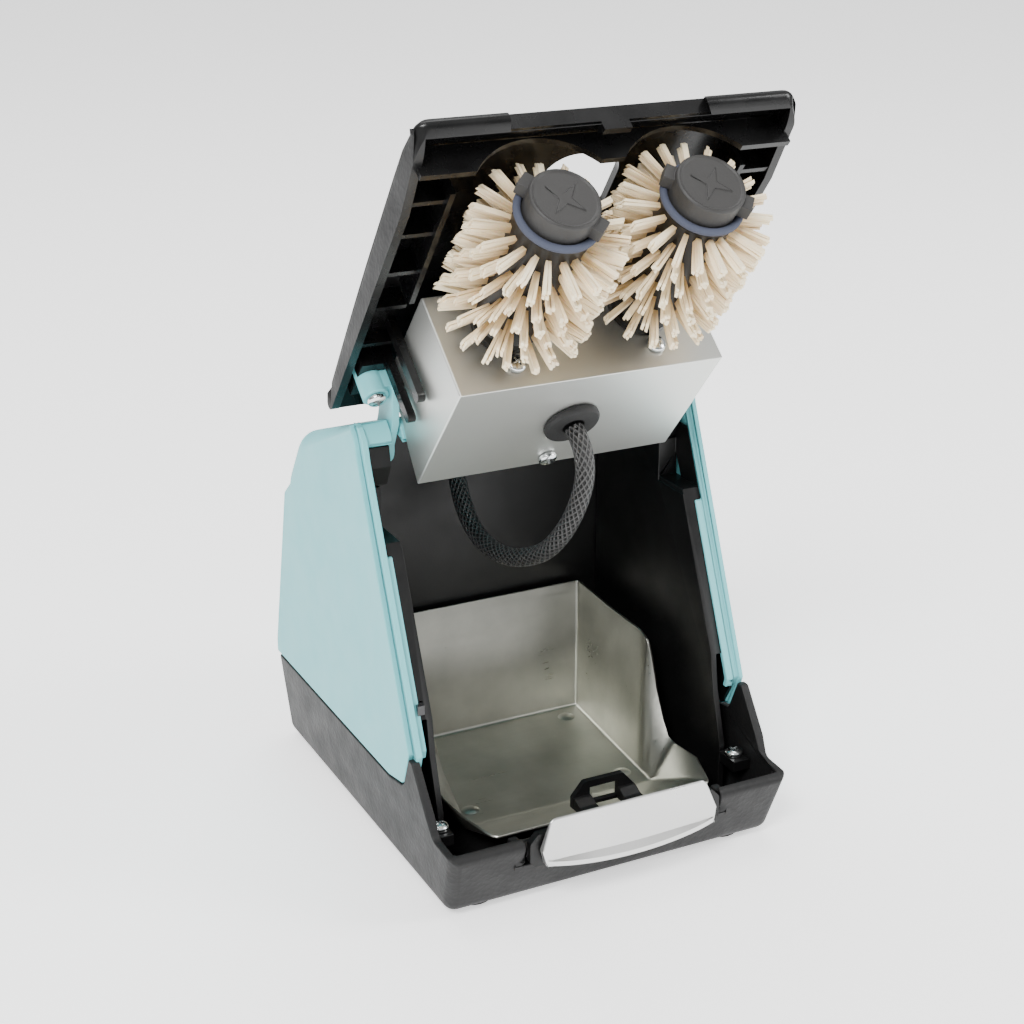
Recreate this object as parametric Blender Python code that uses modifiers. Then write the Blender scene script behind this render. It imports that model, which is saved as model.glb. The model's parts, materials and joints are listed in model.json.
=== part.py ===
"""Motor-driven twin-brush cleaner for soldering tips, with a hinged lid, a latch and a waste tray.

Outlines are in millimetres. The housing's are measured from the front bottom edge of the base,
y to the back and z up. The lid's are measured from the hinge pins: y along the lid's outward
normal and z along the lid, away from the hinge. Objects are built in metres, +Z up.
"""
import math

import bmesh
import bpy
from mathutils import Matrix, Vector

MM = 0.001
GAP = 0.3

# Where the housing's outline origin lies in the world
FRONT_Y = -59.23
FOOT_HEIGHT = 2.5

# Base and shell
BASE_HALF = 55.1
BASE_FLARE = 0.10
BASE_BACK = 131.0
RIM_Z = 28.2
FRONT_RIM_Z = 21.2
FLOOR = 2.3
WALL = 2.3
SHELL_HALF = 57.7
SHELL_WALL = 2.4
TOP_FRONT = (64.0, 130.4)
TOP_SLOPE = -0.363
EDGE_LOW = (21.3, 42.2)
EDGE_HIGH = (55.1, 122.3)

# Hinge and lid
HINGE_Y = 66.5
HINGE_Z = 121.8
LID_TILT = 40.5
LID_HALF = 57.5
LID_WALL = 2.3
HINGE_CLEAR = 11.6
ARM_INNER = 42.9
ARM_OUTER = 45.2
BOSS_X = 49.6
BOSS_Z = 18.7
PIN_RADIUS = 1.5

# Motor box and brushes, in lid coordinates
BOX_HALF = 42.0
BOX_TOP = 54.0
BOX_FRONT = -19.4
BOX_BACK = 14.0
SHEET = 1.0
BRUSH_X = 21.9
BRUSH_Y = 0.6
MOTOR_RADIUS = 12.0
CORE_RADIUS = 11.0
TUFT_RADIUS = 21.6
TUFT_FROM = 64.5
TUFT_TO = 101.5
TUFT_ROWS = 6
CORE_TOP = 103.0
CAP_TOP = 111.4
CAP_RADIUS = 9.9
CAP_NECK = 9.1
GROMMET_Z = 31.4

# Inner frames, tray and latch
FRAME_INNER = 47.9
FRAME_OUTER = 49.9
SKIN_INNER = 54.1
LINER_Y = 101.0
TRAY_SHEET = 0.8
LATCH_Y = -2.5
LATCH_Z = 17.0
LATCH_HALF = 32.4
HANDLE_HALF = 29.4

# Cable from the motor box to the gland on the rear liner
CABLE_RADIUS = 2.9
CABLE_ROUTE = (
    (0.0, 29.2, 131.2),
    (0.3, 26.4, 128.4),
    (0.9, 24.4, 123.4),
    (0.9, 24.2, 116.4),
    (-0.4, 26.2, 107.6),
    (-2.4, 30.6, 98.6),
    (-4.2, 38.2, 90.4),
    (-6.0, 48.4, 84.8),
    (-7.4, 59.4, 81.6),
    (-8.4, 70.4, 81.4),
    (-8.9, 79.6, 84.4),
    (-9.0, 86.6, 90.2),
    (-8.7, 91.2, 97.0),
    (-8.3, 94.4, 102.4),
    (-8.0, 98.4, 104.9),
)
GLAND = (-8.0, 105.0)

COLOURS = {
    "black_textured": ((0.030, 0.030, 0.031, 1.0), 0.62, 0.0),
    "black_smooth": ((0.022, 0.022, 0.023, 1.0), 0.42, 0.0),
    "aqua": ((0.385, 0.640, 0.655, 1.0), 0.38, 0.0),
    "galvanised": ((0.66, 0.67, 0.64, 1.0), 0.22, 1.0),
    "tray_steel": ((0.46, 0.46, 0.42, 1.0), 0.34, 1.0),
    "zinc": ((0.72, 0.74, 0.74, 1.0), 0.25, 1.0),
    "silver": ((0.78, 0.78, 0.78, 1.0), 0.30, 1.0),
    "rubber": ((0.018, 0.018, 0.018, 1.0), 0.85, 0.0),
    "ring_rubber": ((0.050, 0.060, 0.090, 1.0), 0.40, 0.0),
    "bristle": ((0.780, 0.590, 0.350, 1.0), 0.80, 0.0),
    "sleeve": ((0.025, 0.025, 0.027, 1.0), 0.55, 0.0),
    "board": ((0.015, 0.120, 0.045, 1.0), 0.45, 0.0),
    "lens": ((0.120, 0.020, 0.020, 1.0), 0.15, 0.0),
    "steel": ((0.55, 0.56, 0.57, 1.0), 0.30, 1.0),
}


# ---------------------------------------------------------------- scene and object helpers
def clear_scene():
    for obj in list(bpy.data.objects):
        bpy.data.objects.remove(obj, do_unlink=True)


def new_collection(name):
    collection = bpy.data.collections.new(name)
    bpy.context.scene.collection.children.link(collection)
    return collection


clear_scene()
PARTS = new_collection("soldering_tip_cleaner")
CUTTERS = new_collection("cutters")


def make_material(name, key):
    colour, roughness, metallic = COLOURS[key]
    material = bpy.data.materials.new(name)
    material.use_nodes = True
    shader = material.node_tree.nodes["Principled BSDF"]
    shader.inputs["Base Color"].default_value = colour
    shader.inputs["Roughness"].default_value = roughness
    shader.inputs["Metallic"].default_value = metallic
    return material


def make_frame(name, location, tilt=0.0, parent=None):
    frame = bpy.data.objects.new(name, None)
    frame.location = location
    frame.rotation_euler = (tilt, 0.0, 0.0)
    frame.empty_display_size = 0.01
    frame.parent = parent
    PARTS.objects.link(frame)
    return frame


def house(y, z):
    """Housing outline point in world metres."""
    return ((y + FRONT_Y) * MM, (z + FOOT_HEIGHT) * MM)


HOUSING = make_frame("housing_frame", (0.0, *house(0.0, 0.0)))
LID = make_frame("lid_hinge", (0.0, *house(HINGE_Y, HINGE_Z)), math.radians(LID_TILT))
LATCH = make_frame("latch_pivot", (0.0, *house(LATCH_Y, LATCH_Z)))


def add_part(name, mesh, colour, frame, smooth=30.0):
    obj = bpy.data.objects.new(name, mesh)
    PARTS.objects.link(obj)
    obj.parent = frame
    mesh.materials.append(make_material(name, colour))
    mesh.shade_smooth()
    mesh.set_sharp_from_angle(angle=math.radians(smooth))
    return obj


def add_cutter(name, mesh, frame):
    obj = bpy.data.objects.new(name, mesh)
    CUTTERS.objects.link(obj)
    obj.parent = frame
    obj.hide_render = True
    obj.display_type = "WIRE"
    return obj


def boolean(obj, other, operation):
    modifier = obj.modifiers.new(other.name, "BOOLEAN")
    modifier.object = other
    modifier.operation = operation
    modifier.solver = "EXACT"
    return modifier


def cut(obj, mesh, name=None):
    return boolean(obj, add_cutter(name or mesh.name, mesh, obj.parent), "DIFFERENCE")


def join(obj, mesh, name=None):
    return boolean(obj, add_cutter(name or mesh.name, mesh, obj.parent), "UNION")


# ---------------------------------------------------------------- mesh helpers
def rounded(points, steps=4):
    """Outline with the corners (a, b, radius) turned into arcs; a corner (a, b) stays sharp."""
    outline = []
    count = len(points)
    for index, point in enumerate(points):
        corner = Vector(point[:2])
        radius = point[2] if len(point) > 2 else 0.0
        if radius <= 0.0:
            outline.append(tuple(corner))
            continue
        to_last = (Vector(points[index - 1][:2]) - corner).normalized()
        to_next = (Vector(points[(index + 1) % count][:2]) - corner).normalized()
        half = to_last.angle(to_next) / 2.0
        reach = radius / math.tan(half)
        centre = corner + (to_last + to_next).normalized() * (radius / math.sin(half))
        start = corner + to_last * reach - centre
        sweep = start.angle_signed(corner + to_next * reach - centre)
        for step in range(steps + 1):
            turn = -sweep * step / steps
            outline.append(tuple(centre + Matrix.Rotation(turn, 2) @ start))
    return outline


def arc(centre, radius, first, last, steps):
    """Points on a circle, angles in degrees from +y towards +z."""
    angles = (math.radians(first + (last - first) * k / steps) for k in range(steps + 1))
    return [(centre[0] + radius * math.cos(a), centre[1] + radius * math.sin(a)) for a in angles]


def curve_to_mesh(name, data, matrix):
    """Mesh of a filled or bevelled curve, caps welded, faces out."""
    temp = bpy.data.objects.new(name, data)
    PARTS.objects.link(temp)
    depsgraph = bpy.context.evaluated_depsgraph_get()
    mesh = bpy.data.meshes.new_from_object(temp.evaluated_get(depsgraph))
    mesh.name = name
    bpy.data.objects.remove(temp, do_unlink=True)
    bpy.data.curves.remove(data)
    mesh.transform(matrix)
    work = bmesh.new()
    work.from_mesh(mesh)
    bmesh.ops.remove_doubles(work, verts=work.verts, dist=0.00001)
    bmesh.ops.recalc_face_normals(work, faces=work.faces)
    work.to_mesh(mesh)
    work.free()
    return mesh


SIDEWAYS = Matrix(((0, 0, 1, 0), (1, 0, 0, 0), (0, 1, 0, 0), (0, 0, 0, 1)))
BACKWARDS = Matrix(((1, 0, 0, 0), (0, 0, 1, 0), (0, 1, 0, 0), (0, 0, 0, 1)))


def slab(name, outline, low, high, facing=SIDEWAYS):
    """Flat outline given a thickness from low to high: across x, up z, or back along y."""
    data = bpy.data.curves.new(name, "CURVE")
    data.dimensions = "2D"
    data.fill_mode = "BOTH"
    data.extrude = (high - low) / 2.0 * MM
    spline = data.splines.new("POLY")
    spline.points.add(len(outline) - 1)
    for point, (a, b) in zip(spline.points, outline):
        point.co = (a * MM, b * MM, 0.0, 1.0)
    spline.use_cyclic_u = True
    lift = Matrix.Translation((0.0, 0.0, (low + high) / 2.0 * MM))
    return curve_to_mesh(name, data, facing @ lift)


def block(name, x, y, z):
    """Box between pairs of limits."""
    mesh = bpy.data.meshes.new(name)
    work = bmesh.new()
    bmesh.ops.create_cube(work, size=1.0)
    size = Vector((x[1] - x[0], y[1] - y[0], z[1] - z[0])) * MM
    centre = Vector((x[0] + x[1], y[0] + y[1], z[0] + z[1])) * (MM / 2.0)
    place = Matrix.Translation(centre) @ Matrix.Diagonal((*size, 1.0))
    bmesh.ops.transform(work, matrix=place, verts=work.verts)
    work.to_mesh(mesh)
    work.free()
    return mesh


def rod(name, start, end, radius, tip=None, sides=24):
    """Cylinder or cone between two points."""
    first = Vector(start) * MM
    last = Vector(end) * MM
    along = last - first
    mesh = bpy.data.meshes.new(name)
    work = bmesh.new()
    bmesh.ops.create_cone(
        work,
        cap_ends=True,
        segments=sides,
        radius1=radius * MM,
        radius2=(radius if tip is None else tip) * MM,
        depth=along.length,
    )
    turn = along.to_track_quat("Z", "Y").to_matrix().to_4x4()
    bmesh.ops.transform(work, matrix=Matrix.Translation((first + last) / 2.0) @ turn, verts=work.verts)
    work.to_mesh(mesh)
    work.free()
    return mesh


def turned(name, profile, colour, frame, place, turn=None, steps=24):
    """Part turned about its own z from a closed profile (radius, height), outer side running down."""
    mesh = bpy.data.meshes.new(name)
    work = bmesh.new()
    verts = [work.verts.new((r * MM, 0.0, h * MM)) for r, h in profile]
    closed = profile[0][0] > 0.0
    for first, second in zip(verts, verts[1:]):
        work.edges.new((first, second))
    if closed:
        work.edges.new((verts[-1], verts[0]))
    work.to_mesh(mesh)
    work.free()
    obj = bpy.data.objects.new(name, mesh)
    PARTS.objects.link(obj)
    obj.parent = frame
    obj.location = Vector(place) * MM
    if turn:
        obj.rotation_euler = turn
    mesh.materials.append(make_material(name, colour))
    screw = obj.modifiers.new("turn", "SCREW")
    screw.axis = "Z"
    screw.steps = steps
    screw.render_steps = steps
    screw.use_merge_vertices = True
    screw.merge_threshold = 0.00001
    screw.use_smooth_shade = False
    return obj


def pan_screw(name, frame, place, turn, head=2.9, shank=1.4, length=6.0):
    """Pan-head screw: the head stands on z = 0 and the shank runs down."""
    profile = (
        (0.0, 1.9),
        (head * 0.55, 1.75),
        (head * 0.9, 1.1),
        (head, 0.0),
        (shank, 0.0),
        (shank, -length),
        (0.0, -length),
    )
    obj = turned(name, profile, "zinc", frame, place, turn, steps=16)
    for index in range(2):
        slot = block(f"{name}_recess_{index}", (-1.5, 1.5), (-0.35, 0.35), (1.1, 3.0))
        cutter = add_cutter(f"{name}_recess_{index}", slot, obj)
        cutter.rotation_euler = (0.0, 0.0, math.radians(45.0 + 90.0 * index))
        boolean(obj, cutter, "DIFFERENCE")
    return obj


def sided(side, low, high):
    """Limits across x on one side of the middle."""
    return tuple(sorted((side * low, side * high)))


def pair_name(name, side):
    return f"{name}_{'left' if side < 0 else 'right'}"


def round_edges(mesh, width, segments, chosen):
    """Round the sharp edges whose middle point, in millimetres, passes the test."""
    work = bmesh.new()
    work.from_mesh(mesh)
    sharp = []
    for edge in work.edges:
        middle = (edge.verts[0].co + edge.verts[1].co) / (2.0 * MM)
        if edge.is_manifold and edge.calc_face_angle() > 0.5 and chosen(middle):
            sharp.append(edge)
    bmesh.ops.bevel(work, geom=sharp, offset=width * MM, segments=segments, profile=0.5, affect="EDGES")
    work.to_mesh(mesh)
    work.free()
    return mesh


def shift(mesh, x, y, z):
    mesh.transform(Matrix.Translation((x * MM, y * MM, z * MM)))
    return mesh


def edge_y(z):
    """y of the shell's slanted front edge at height z."""
    return EDGE_LOW[0] + (z - EDGE_LOW[1]) * (EDGE_HIGH[0] - EDGE_LOW[0]) / (EDGE_HIGH[1] - EDGE_LOW[1])


def top_z(y):
    """Height of the shell's top surface at y."""
    return TOP_FRONT[1] + TOP_SLOPE * (y - TOP_FRONT[0])


def flare(mesh):
    """Widen the base from its bottom to its rim."""
    for vertex in mesh.vertices:
        height = min(vertex.co.z, RIM_Z * MM)
        vertex.co.x += math.copysign(BASE_FLARE * height, vertex.co.x)


# ---------------------------------------------------------------- housing
def make_base():
    outline = rounded(
        (
            (1.0, 0.0, 1.5),
            (BASE_BACK, 0.0, 8.0),
            (BASE_BACK + 2.2, RIM_Z),
            (36.3, RIM_Z, 9.0),
            (25.2, 30.2, 3.0),
            (21.6, 39.3),
            (21.1, 40.8),
            (18.6, 40.8, 1.0),
            (8.8, 27.4),
            (5.6, FRONT_RIM_Z + 0.6, 3.0),
            (-6.5, FRONT_RIM_Z, 1.6),
        ),
    )
    mesh = slab("base_tub", outline, -BASE_HALF, BASE_HALF)
    flare(mesh)
    round_edges(mesh, 2.2, 2, lambda p: abs(p.x) > 50.0 and p.z < 24.0 or (p.y > 120.0 and p.z < 27.0))
    base = add_part("base_tub", mesh, "black_textured", HOUSING)
    inside = (
        (3.2, FLOOR),
        (BASE_BACK - 5.0, FLOOR),
        (BASE_BACK - WALL, 6.0),
        (BASE_BACK - 0.2, RIM_Z),
        (BASE_BACK + 0.2, 60.0),
        (-4.0, 60.0),
        (-4.0, 19.0),
    )
    hollow = slab("base_inside", inside, -BASE_HALF + WALL, BASE_HALF - WALL)
    flare(hollow)
    cut(base, hollow)
    cut(base, block("latch_notch", (-33.0, 33.0), (-12.0, 4.5), (12.2, 30.0)))
    cut(base, block("inlet_notch", (23.6, 36.4), (120.0, 140.0), (8.6, 20.4)))
    for side in (-1.0, 1.0):
        join(base, block(pair_name("latch_ear", side), sided(side, 33.2, 36.0), (-4.6, 0.6), (12.6, 19.9)))
        start = (side * 31.0, LATCH_Y, LATCH_Z)
        end = (side * 37.0, LATCH_Y, LATCH_Z)
        cut(base, rod(pair_name("latch_ear_hole", side), start, end, 1.35, sides=12))
    return base


def make_shell():
    nose = arc((HINGE_Y, HINGE_Z), HINGE_CLEAR, 171.0, 124.0, 4)
    outline = rounded(
        (
            (36.4, RIM_Z + GAP, 9.0),
            (25.6, 30.6, 3.0),
            (22.1, 39.4),
            EDGE_LOW,
            *nose,
            TOP_FRONT,
            (106.0, top_z(106.0), 14.0),
            (117.0, 99.0, 14.0),
            (133.2, 33.0),
            (133.2, RIM_Z + GAP),
        ),
        4,
    )
    mesh = slab("housing_shell", outline, -SHELL_HALF, SHELL_HALF)
    round_edges(mesh, 3.0, 3, lambda p: abs(p.x) > 50.0 and p.y > TOP_FRONT[0] and p.z > 34.0)
    shell = add_part("housing_shell", mesh, "aqua", HOUSING)
    inside = (
        (130.4, 20.0),
        (130.8, 33.0),
        (114.4, 98.4),
        (104.6, top_z(104.6) - 3.2),
        (60.6, top_z(60.6) - 4.2),
        (57.2, 125.6),
        (40.0, 132.0),
        (-10.0, 110.0),
        (-10.0, 20.0),
    )
    inner_half = SHELL_HALF - SHELL_WALL
    cut(shell, slab("shell_inside", inside, -inner_half, inner_half))
    for side in (-1.0, 1.0):
        limits = sided(side, ARM_INNER - 0.5, ARM_OUTER + 0.5)
        cut(shell, block(pair_name("arm_slot", side), limits, (50.0, 75.0), (110.0, 140.0)))
    return shell


def make_inner_frame(side):
    name = pair_name("inner_frame", side)
    plate = (
        (LINER_Y - GAP, 3.0),
        (LINER_Y - GAP, top_z(LINER_Y) - 5.0),
        (76.4, top_z(76.4) - 5.0),
        (76.4, 110.6),
        (60.4, 110.6),
        (60.4, 97.0),
        (edge_y(97.0) + 0.8, 97.0),
        (edge_y(50.0) + 0.8, 50.0),
        (23.6, 38.6),
        (18.4, 21.6),
        (18.4, 3.0),
    )
    frame = add_part(name, slab(name, plate, *sided(side, FRAME_INNER, FRAME_OUTER)), "black_smooth", HOUSING)
    strip = (
        (edge_y(50.0) + 0.8, 50.0),
        (edge_y(50.0) + 3.2, 50.0),
        (edge_y(97.0) + 3.2, 97.0),
        (62.4, 97.0),
        (62.4, 110.6),
        (60.4, 110.6),
        (60.4, 98.6),
        (edge_y(98.6) + 0.8, 98.6),
    )
    join(frame, slab(f"{name}_strip", strip, *sided(side, FRAME_INNER + 0.3, SKIN_INNER + 0.5)))
    skin = (
        (edge_y(44.0) + 1.2, 44.0),
        (edge_y(116.0) + 1.2, 116.0),
        (62.4, 116.0),
        (62.4, 110.0),
        (edge_y(44.0) + 9.0, 44.0),
    )
    join(frame, slab(f"{name}_skin", skin, *sided(side, SKIN_INNER, SKIN_INNER + 0.9)))
    foot = block(f"{name}_foot", sided(side, FRAME_INNER + 0.4, 54.3), (10.4, 19.4), (15.6, 19.2))
    join(frame, foot)
    cut(frame, rod(f"{name}_screw_hole", (side * 51.1, 15.0, 10.0), (side * 51.1, 15.0, 24.0), 1.7, sides=12))
    if side < 0:
        cut(frame, block("sensor_window", (-53.0, -50.2), (20.0, 34.0), (51.6, 55.2)))
    return frame


def make_hinge_block(side):
    name = pair_name("hinge_block", side)
    outline = ((60.6, 111.2), (76.2, 111.2), (76.2, 121.0), (68.6, 123.9), (58.2, 123.9), (57.0, 118.0))
    mesh = slab(name, outline, *sided(side, ARM_OUTER + 0.7, 53.4))
    bearing = add_part(name, mesh, "black_smooth", HOUSING)
    start = (side * 44.0, HINGE_Y, HINGE_Z)
    end = (side * 51.0, HINGE_Y, HINGE_Z)
    cut(bearing, rod(f"{name}_bore", start, end, PIN_RADIUS + GAP, sides=16))
    pin_start = (side * (BOX_HALF + 0.5), HINGE_Y, HINGE_Z)
    pin_end = (side * 50.6, HINGE_Y, HINGE_Z)
    pin = pair_name("hinge_pin", side)
    add_part(pin, rod(pin, pin_start, pin_end, PIN_RADIUS, sides=16), "steel", HOUSING)


def make_rear_liner():
    mesh = block("rear_liner", (-52.6, 52.6), (LINER_Y, LINER_Y + 2.0), (2.8, 111.6))
    liner = add_part("rear_liner", mesh, "black_smooth", HOUSING)
    start = (GLAND[0], LINER_Y - 3.0, GLAND[1])
    end = (GLAND[0], LINER_Y + 6.0, GLAND[1])
    cut(liner, rod("gland_hole", start, end, 5.0, sides=20))
    ring = ((3.3, 5.0), (4.6, 5.0), (4.6, 0.3), (6.4, 0.3), (6.4, -1.8), (3.3, -1.8))
    face = (GLAND[0], LINER_Y - GAP, GLAND[1])
    turned("cable_gland", ring, "rubber", HOUSING, face, (-math.pi / 2.0, 0.0, 0.0), 20)
    return liner


def make_feet_and_screws():
    for index, (x, y) in enumerate(((-43.0, 10.0), (43.0, 10.0), (-43.0, 119.0), (43.0, 119.0)), 1):
        profile = ((0.0, -GAP), (6.4, -GAP), (6.0, -FOOT_HEIGHT), (0.0, -FOOT_HEIGHT))
        turned(f"rubber_foot_{index}", profile, "rubber", HOUSING, (x, y, 0.0), steps=20)
    for side in (-1.0, 1.0):
        pan_screw(pair_name("frame_screw", side), HOUSING, (side * 51.1, 15.0, 19.5), None)


def make_electronics():
    mesh = block("control_board", (-36.0, 36.0), (106.0, 107.6), (34.0, 92.0))
    board = add_part("control_board", mesh, "board", HOUSING)
    components = ((-20.0, 50.0, 6.0, 5.0), (6.0, 58.0, 8.0, 3.0), (22.0, 76.0, 5.0, 6.0))
    for index, (x, z, size, height) in enumerate(components):
        limits = (x - size, x + size), (107.0, 107.6 + height), (z - size, z + size)
        part = block(f"component_{index}", *limits)
        join(board, part)
    mesh = block("power_inlet", (24.0, 36.0), (121.0, 132.4), (9.0, 20.0))
    inlet = add_part("power_inlet", mesh, "black_smooth", HOUSING)
    cut(inlet, block("inlet_socket", (26.0, 34.0), (124.0, 140.0), (11.0, 18.0)))
    mesh = block("lid_sensor", (-52.7, -50.5), (25.2, 27.6), (51.9, 54.9))
    lens = add_part("lid_sensor", mesh, "lens", HOUSING)
    return lens


def make_tray():
    """Folded waste tray: half of its sheet, mirrored and thickened."""
    floor = [(38.0, 94.0, 3.6), (33.5, 34.5, 3.6)]
    lip = (37.3, 6.2, 16.6)
    rim = (
        (41.4, 21.0, 17.6),
        (41.3, 33.7, 16.4),
        (41.2, 38.1, 17.1),
        (41.1, 40.9, 22.0),
        (40.9, 45.2, 30.9),
        (40.7, 49.1, 43.6),
        (40.6, 51.2, 46.3),
        (40.5, 55.8, 47.9),
        (40.4, 75.8, 48.2),
        (40.2, 98.4, 49.4),
    )
    mesh = bpy.data.meshes.new("waste_tray")
    work = bmesh.new()

    def vert(point):
        return work.verts.new(Vector(point) * MM)

    rear, front = (vert(p) for p in floor)
    corner = vert(lip)
    edge = [vert(p) for p in rim]
    rear_mid = vert((0.0, floor[0][1], floor[0][2]))
    front_mid = vert((0.0, floor[1][1], floor[1][2]))
    lip_mid = vert((0.0, lip[1], lip[2]))
    top_mid = vert((0.0, rim[-1][1], rim[-1][2]))
    work.faces.new((rear_mid, rear, front, front_mid))
    work.faces.new((front_mid, front, corner, lip_mid))
    work.faces.new((front, edge[0], corner))
    work.faces.new((rear, *edge[::-1], front))
    work.faces.new((rear_mid, top_mid, edge[-1], rear))
    bmesh.ops.recalc_face_normals(work, faces=work.faces)
    work.to_mesh(mesh)
    work.free()
    tray = add_part("waste_tray", mesh, "tray_steel", HOUSING)
    mirror = tray.modifiers.new("mirror", "MIRROR")
    mirror.merge_threshold = 0.0001
    mirror.use_clip = True
    solidify = tray.modifiers.new("sheet", "SOLIDIFY")
    solidify.thickness = TRAY_SHEET * MM
    solidify.offset = -1.0
    solidify.use_even_offset = True
    return tray


# ---------------------------------------------------------------- latch
def make_latch():
    """Rocking carrier with a barrel on its pin, and a bracket with a window behind the lid's catch."""
    right = ((31.0, 12.6), (LATCH_HALF, 14.2), (LATCH_HALF, 20.4), (30.0, 23.0))
    outline = right + tuple((-x, z) for x, z in reversed(right))
    mesh = slab("latch_carrier", outline, -6.6, -4.2, BACKWARDS)
    carrier = add_part("latch_carrier", shift(mesh, 0.0, -LATCH_Y, -LATCH_Z), "black_smooth", LATCH)
    barrel = rod("latch_barrel", (-LATCH_HALF, 0.0, 0.0), (LATCH_HALF, 0.0, 0.0), 2.6, sides=20)
    join(carrier, barrel)
    for side in (-1.0, 1.0):
        arm = ((-5.4, 19.2), (9.4, 19.2), (9.4, 27.4), (7.6, 27.4), (7.4, 21.6), (-5.4, 21.6))
        mesh = slab(pair_name("latch_arm", side), arm, *sided(side, 4.5, 10.5))
        join(carrier, shift(mesh, 0.0, -LATCH_Y, -LATCH_Z))
    for index, (low, high) in enumerate(((19.2, 20.2), (25.2, 27.4))):
        bar = block(f"latch_bar_{index}", (-5.0, 5.0), (7.6, 9.4), (low, high))
        join(carrier, shift(bar, 0.0, -LATCH_Y, -LATCH_Z))
    cut(carrier, rod("latch_bore", (-40.0, 0.0, 0.0), (40.0, 0.0, 0.0), 1.35, sides=16))
    spring_gap = block("spring_gap", (-26.0, -17.0), (-2.5, 3.2), (-3.2, 3.2))
    cut(carrier, spring_gap)
    pin = rod("latch_pin", (-35.8, LATCH_Y, LATCH_Z), (35.8, LATCH_Y, LATCH_Z), 1.0, sides=16)
    add_part("latch_pin", pin, "steel", HOUSING)
    make_latch_spring()
    make_handle()
    return carrier


def make_latch_spring():
    """Torsion spring round the latch pin."""
    turns, per_turn, radius, pitch = 4, 12, 1.75, 1.5
    data = bpy.data.curves.new("latch_spring", "CURVE")
    data.dimensions = "3D"
    data.bevel_depth = 0.3 * MM
    data.bevel_resolution = 1
    data.use_fill_caps = True
    count = turns * per_turn + 1
    spline = data.splines.new("POLY")
    spline.points.add(count - 1)
    for index in range(count):
        angle = 2.0 * math.pi * index / per_turn
        x = -24.6 + pitch * index / per_turn
        spline.points[index].co = (x * MM, (LATCH_Y + radius * math.cos(angle)) * MM,
                                   (LATCH_Z + radius * math.sin(angle)) * MM, 1.0)
    mesh = curve_to_mesh("latch_spring", data, Matrix.Identity(4))
    add_part("latch_spring", mesh, "steel", HOUSING)


def make_handle():
    """Grip cover with a curved finger lip, on the front of the latch carrier."""
    outline = rounded(
        (
            (-26.0, 27.8, 2.0),
            (-HANDLE_HALF, 18.6),
            (-28.0, 13.6, 2.0),
            (0.0, 11.6),
            (28.0, 13.6, 2.0),
            (HANDLE_HALF, 18.6),
            (26.0, 27.8, 2.0),
        ),
        3,
    )
    mesh = slab("handle_cover", outline, -9.4, -7.2, BACKWARDS)
    for vertex in mesh.vertices:
        if vertex.co.y < -8.0 * MM:
            vertex.co.y += (vertex.co.z - 19.2 * MM) * 0.16
    cover = add_part("handle_cover", shift(mesh, 0.0, -LATCH_Y, -LATCH_Z), "silver", LATCH)
    steps = 12
    turns = [math.pi * k / steps for k in range(steps + 1)]
    upper = [(28.6 * math.cos(turn), 16.6 + 4.2 * math.sin(turn)) for turn in turns]
    lower = [(-x, 33.4 - z - 0.8) for x, z in upper[1:-1]]
    lip = slab("finger_lip", upper + lower, -12.2, -7.6, BACKWARDS)
    for vertex in lip.vertices:
        if vertex.co.y < -11.0 * MM:
            vertex.co.z = 15.4 * MM + (vertex.co.z - 15.4 * MM) * 0.35
            vertex.co.y += abs(vertex.co.x) ** 2 * 3.2
    join(cover, shift(lip, 0.0, -LATCH_Y, -LATCH_Z))
    return cover


# ---------------------------------------------------------------- lid
def lid_skin(z):
    """Outer face of the lid's skin at distance z from the hinge."""
    return 19.3 + 0.115 * z - 0.00032 * z * z


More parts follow.
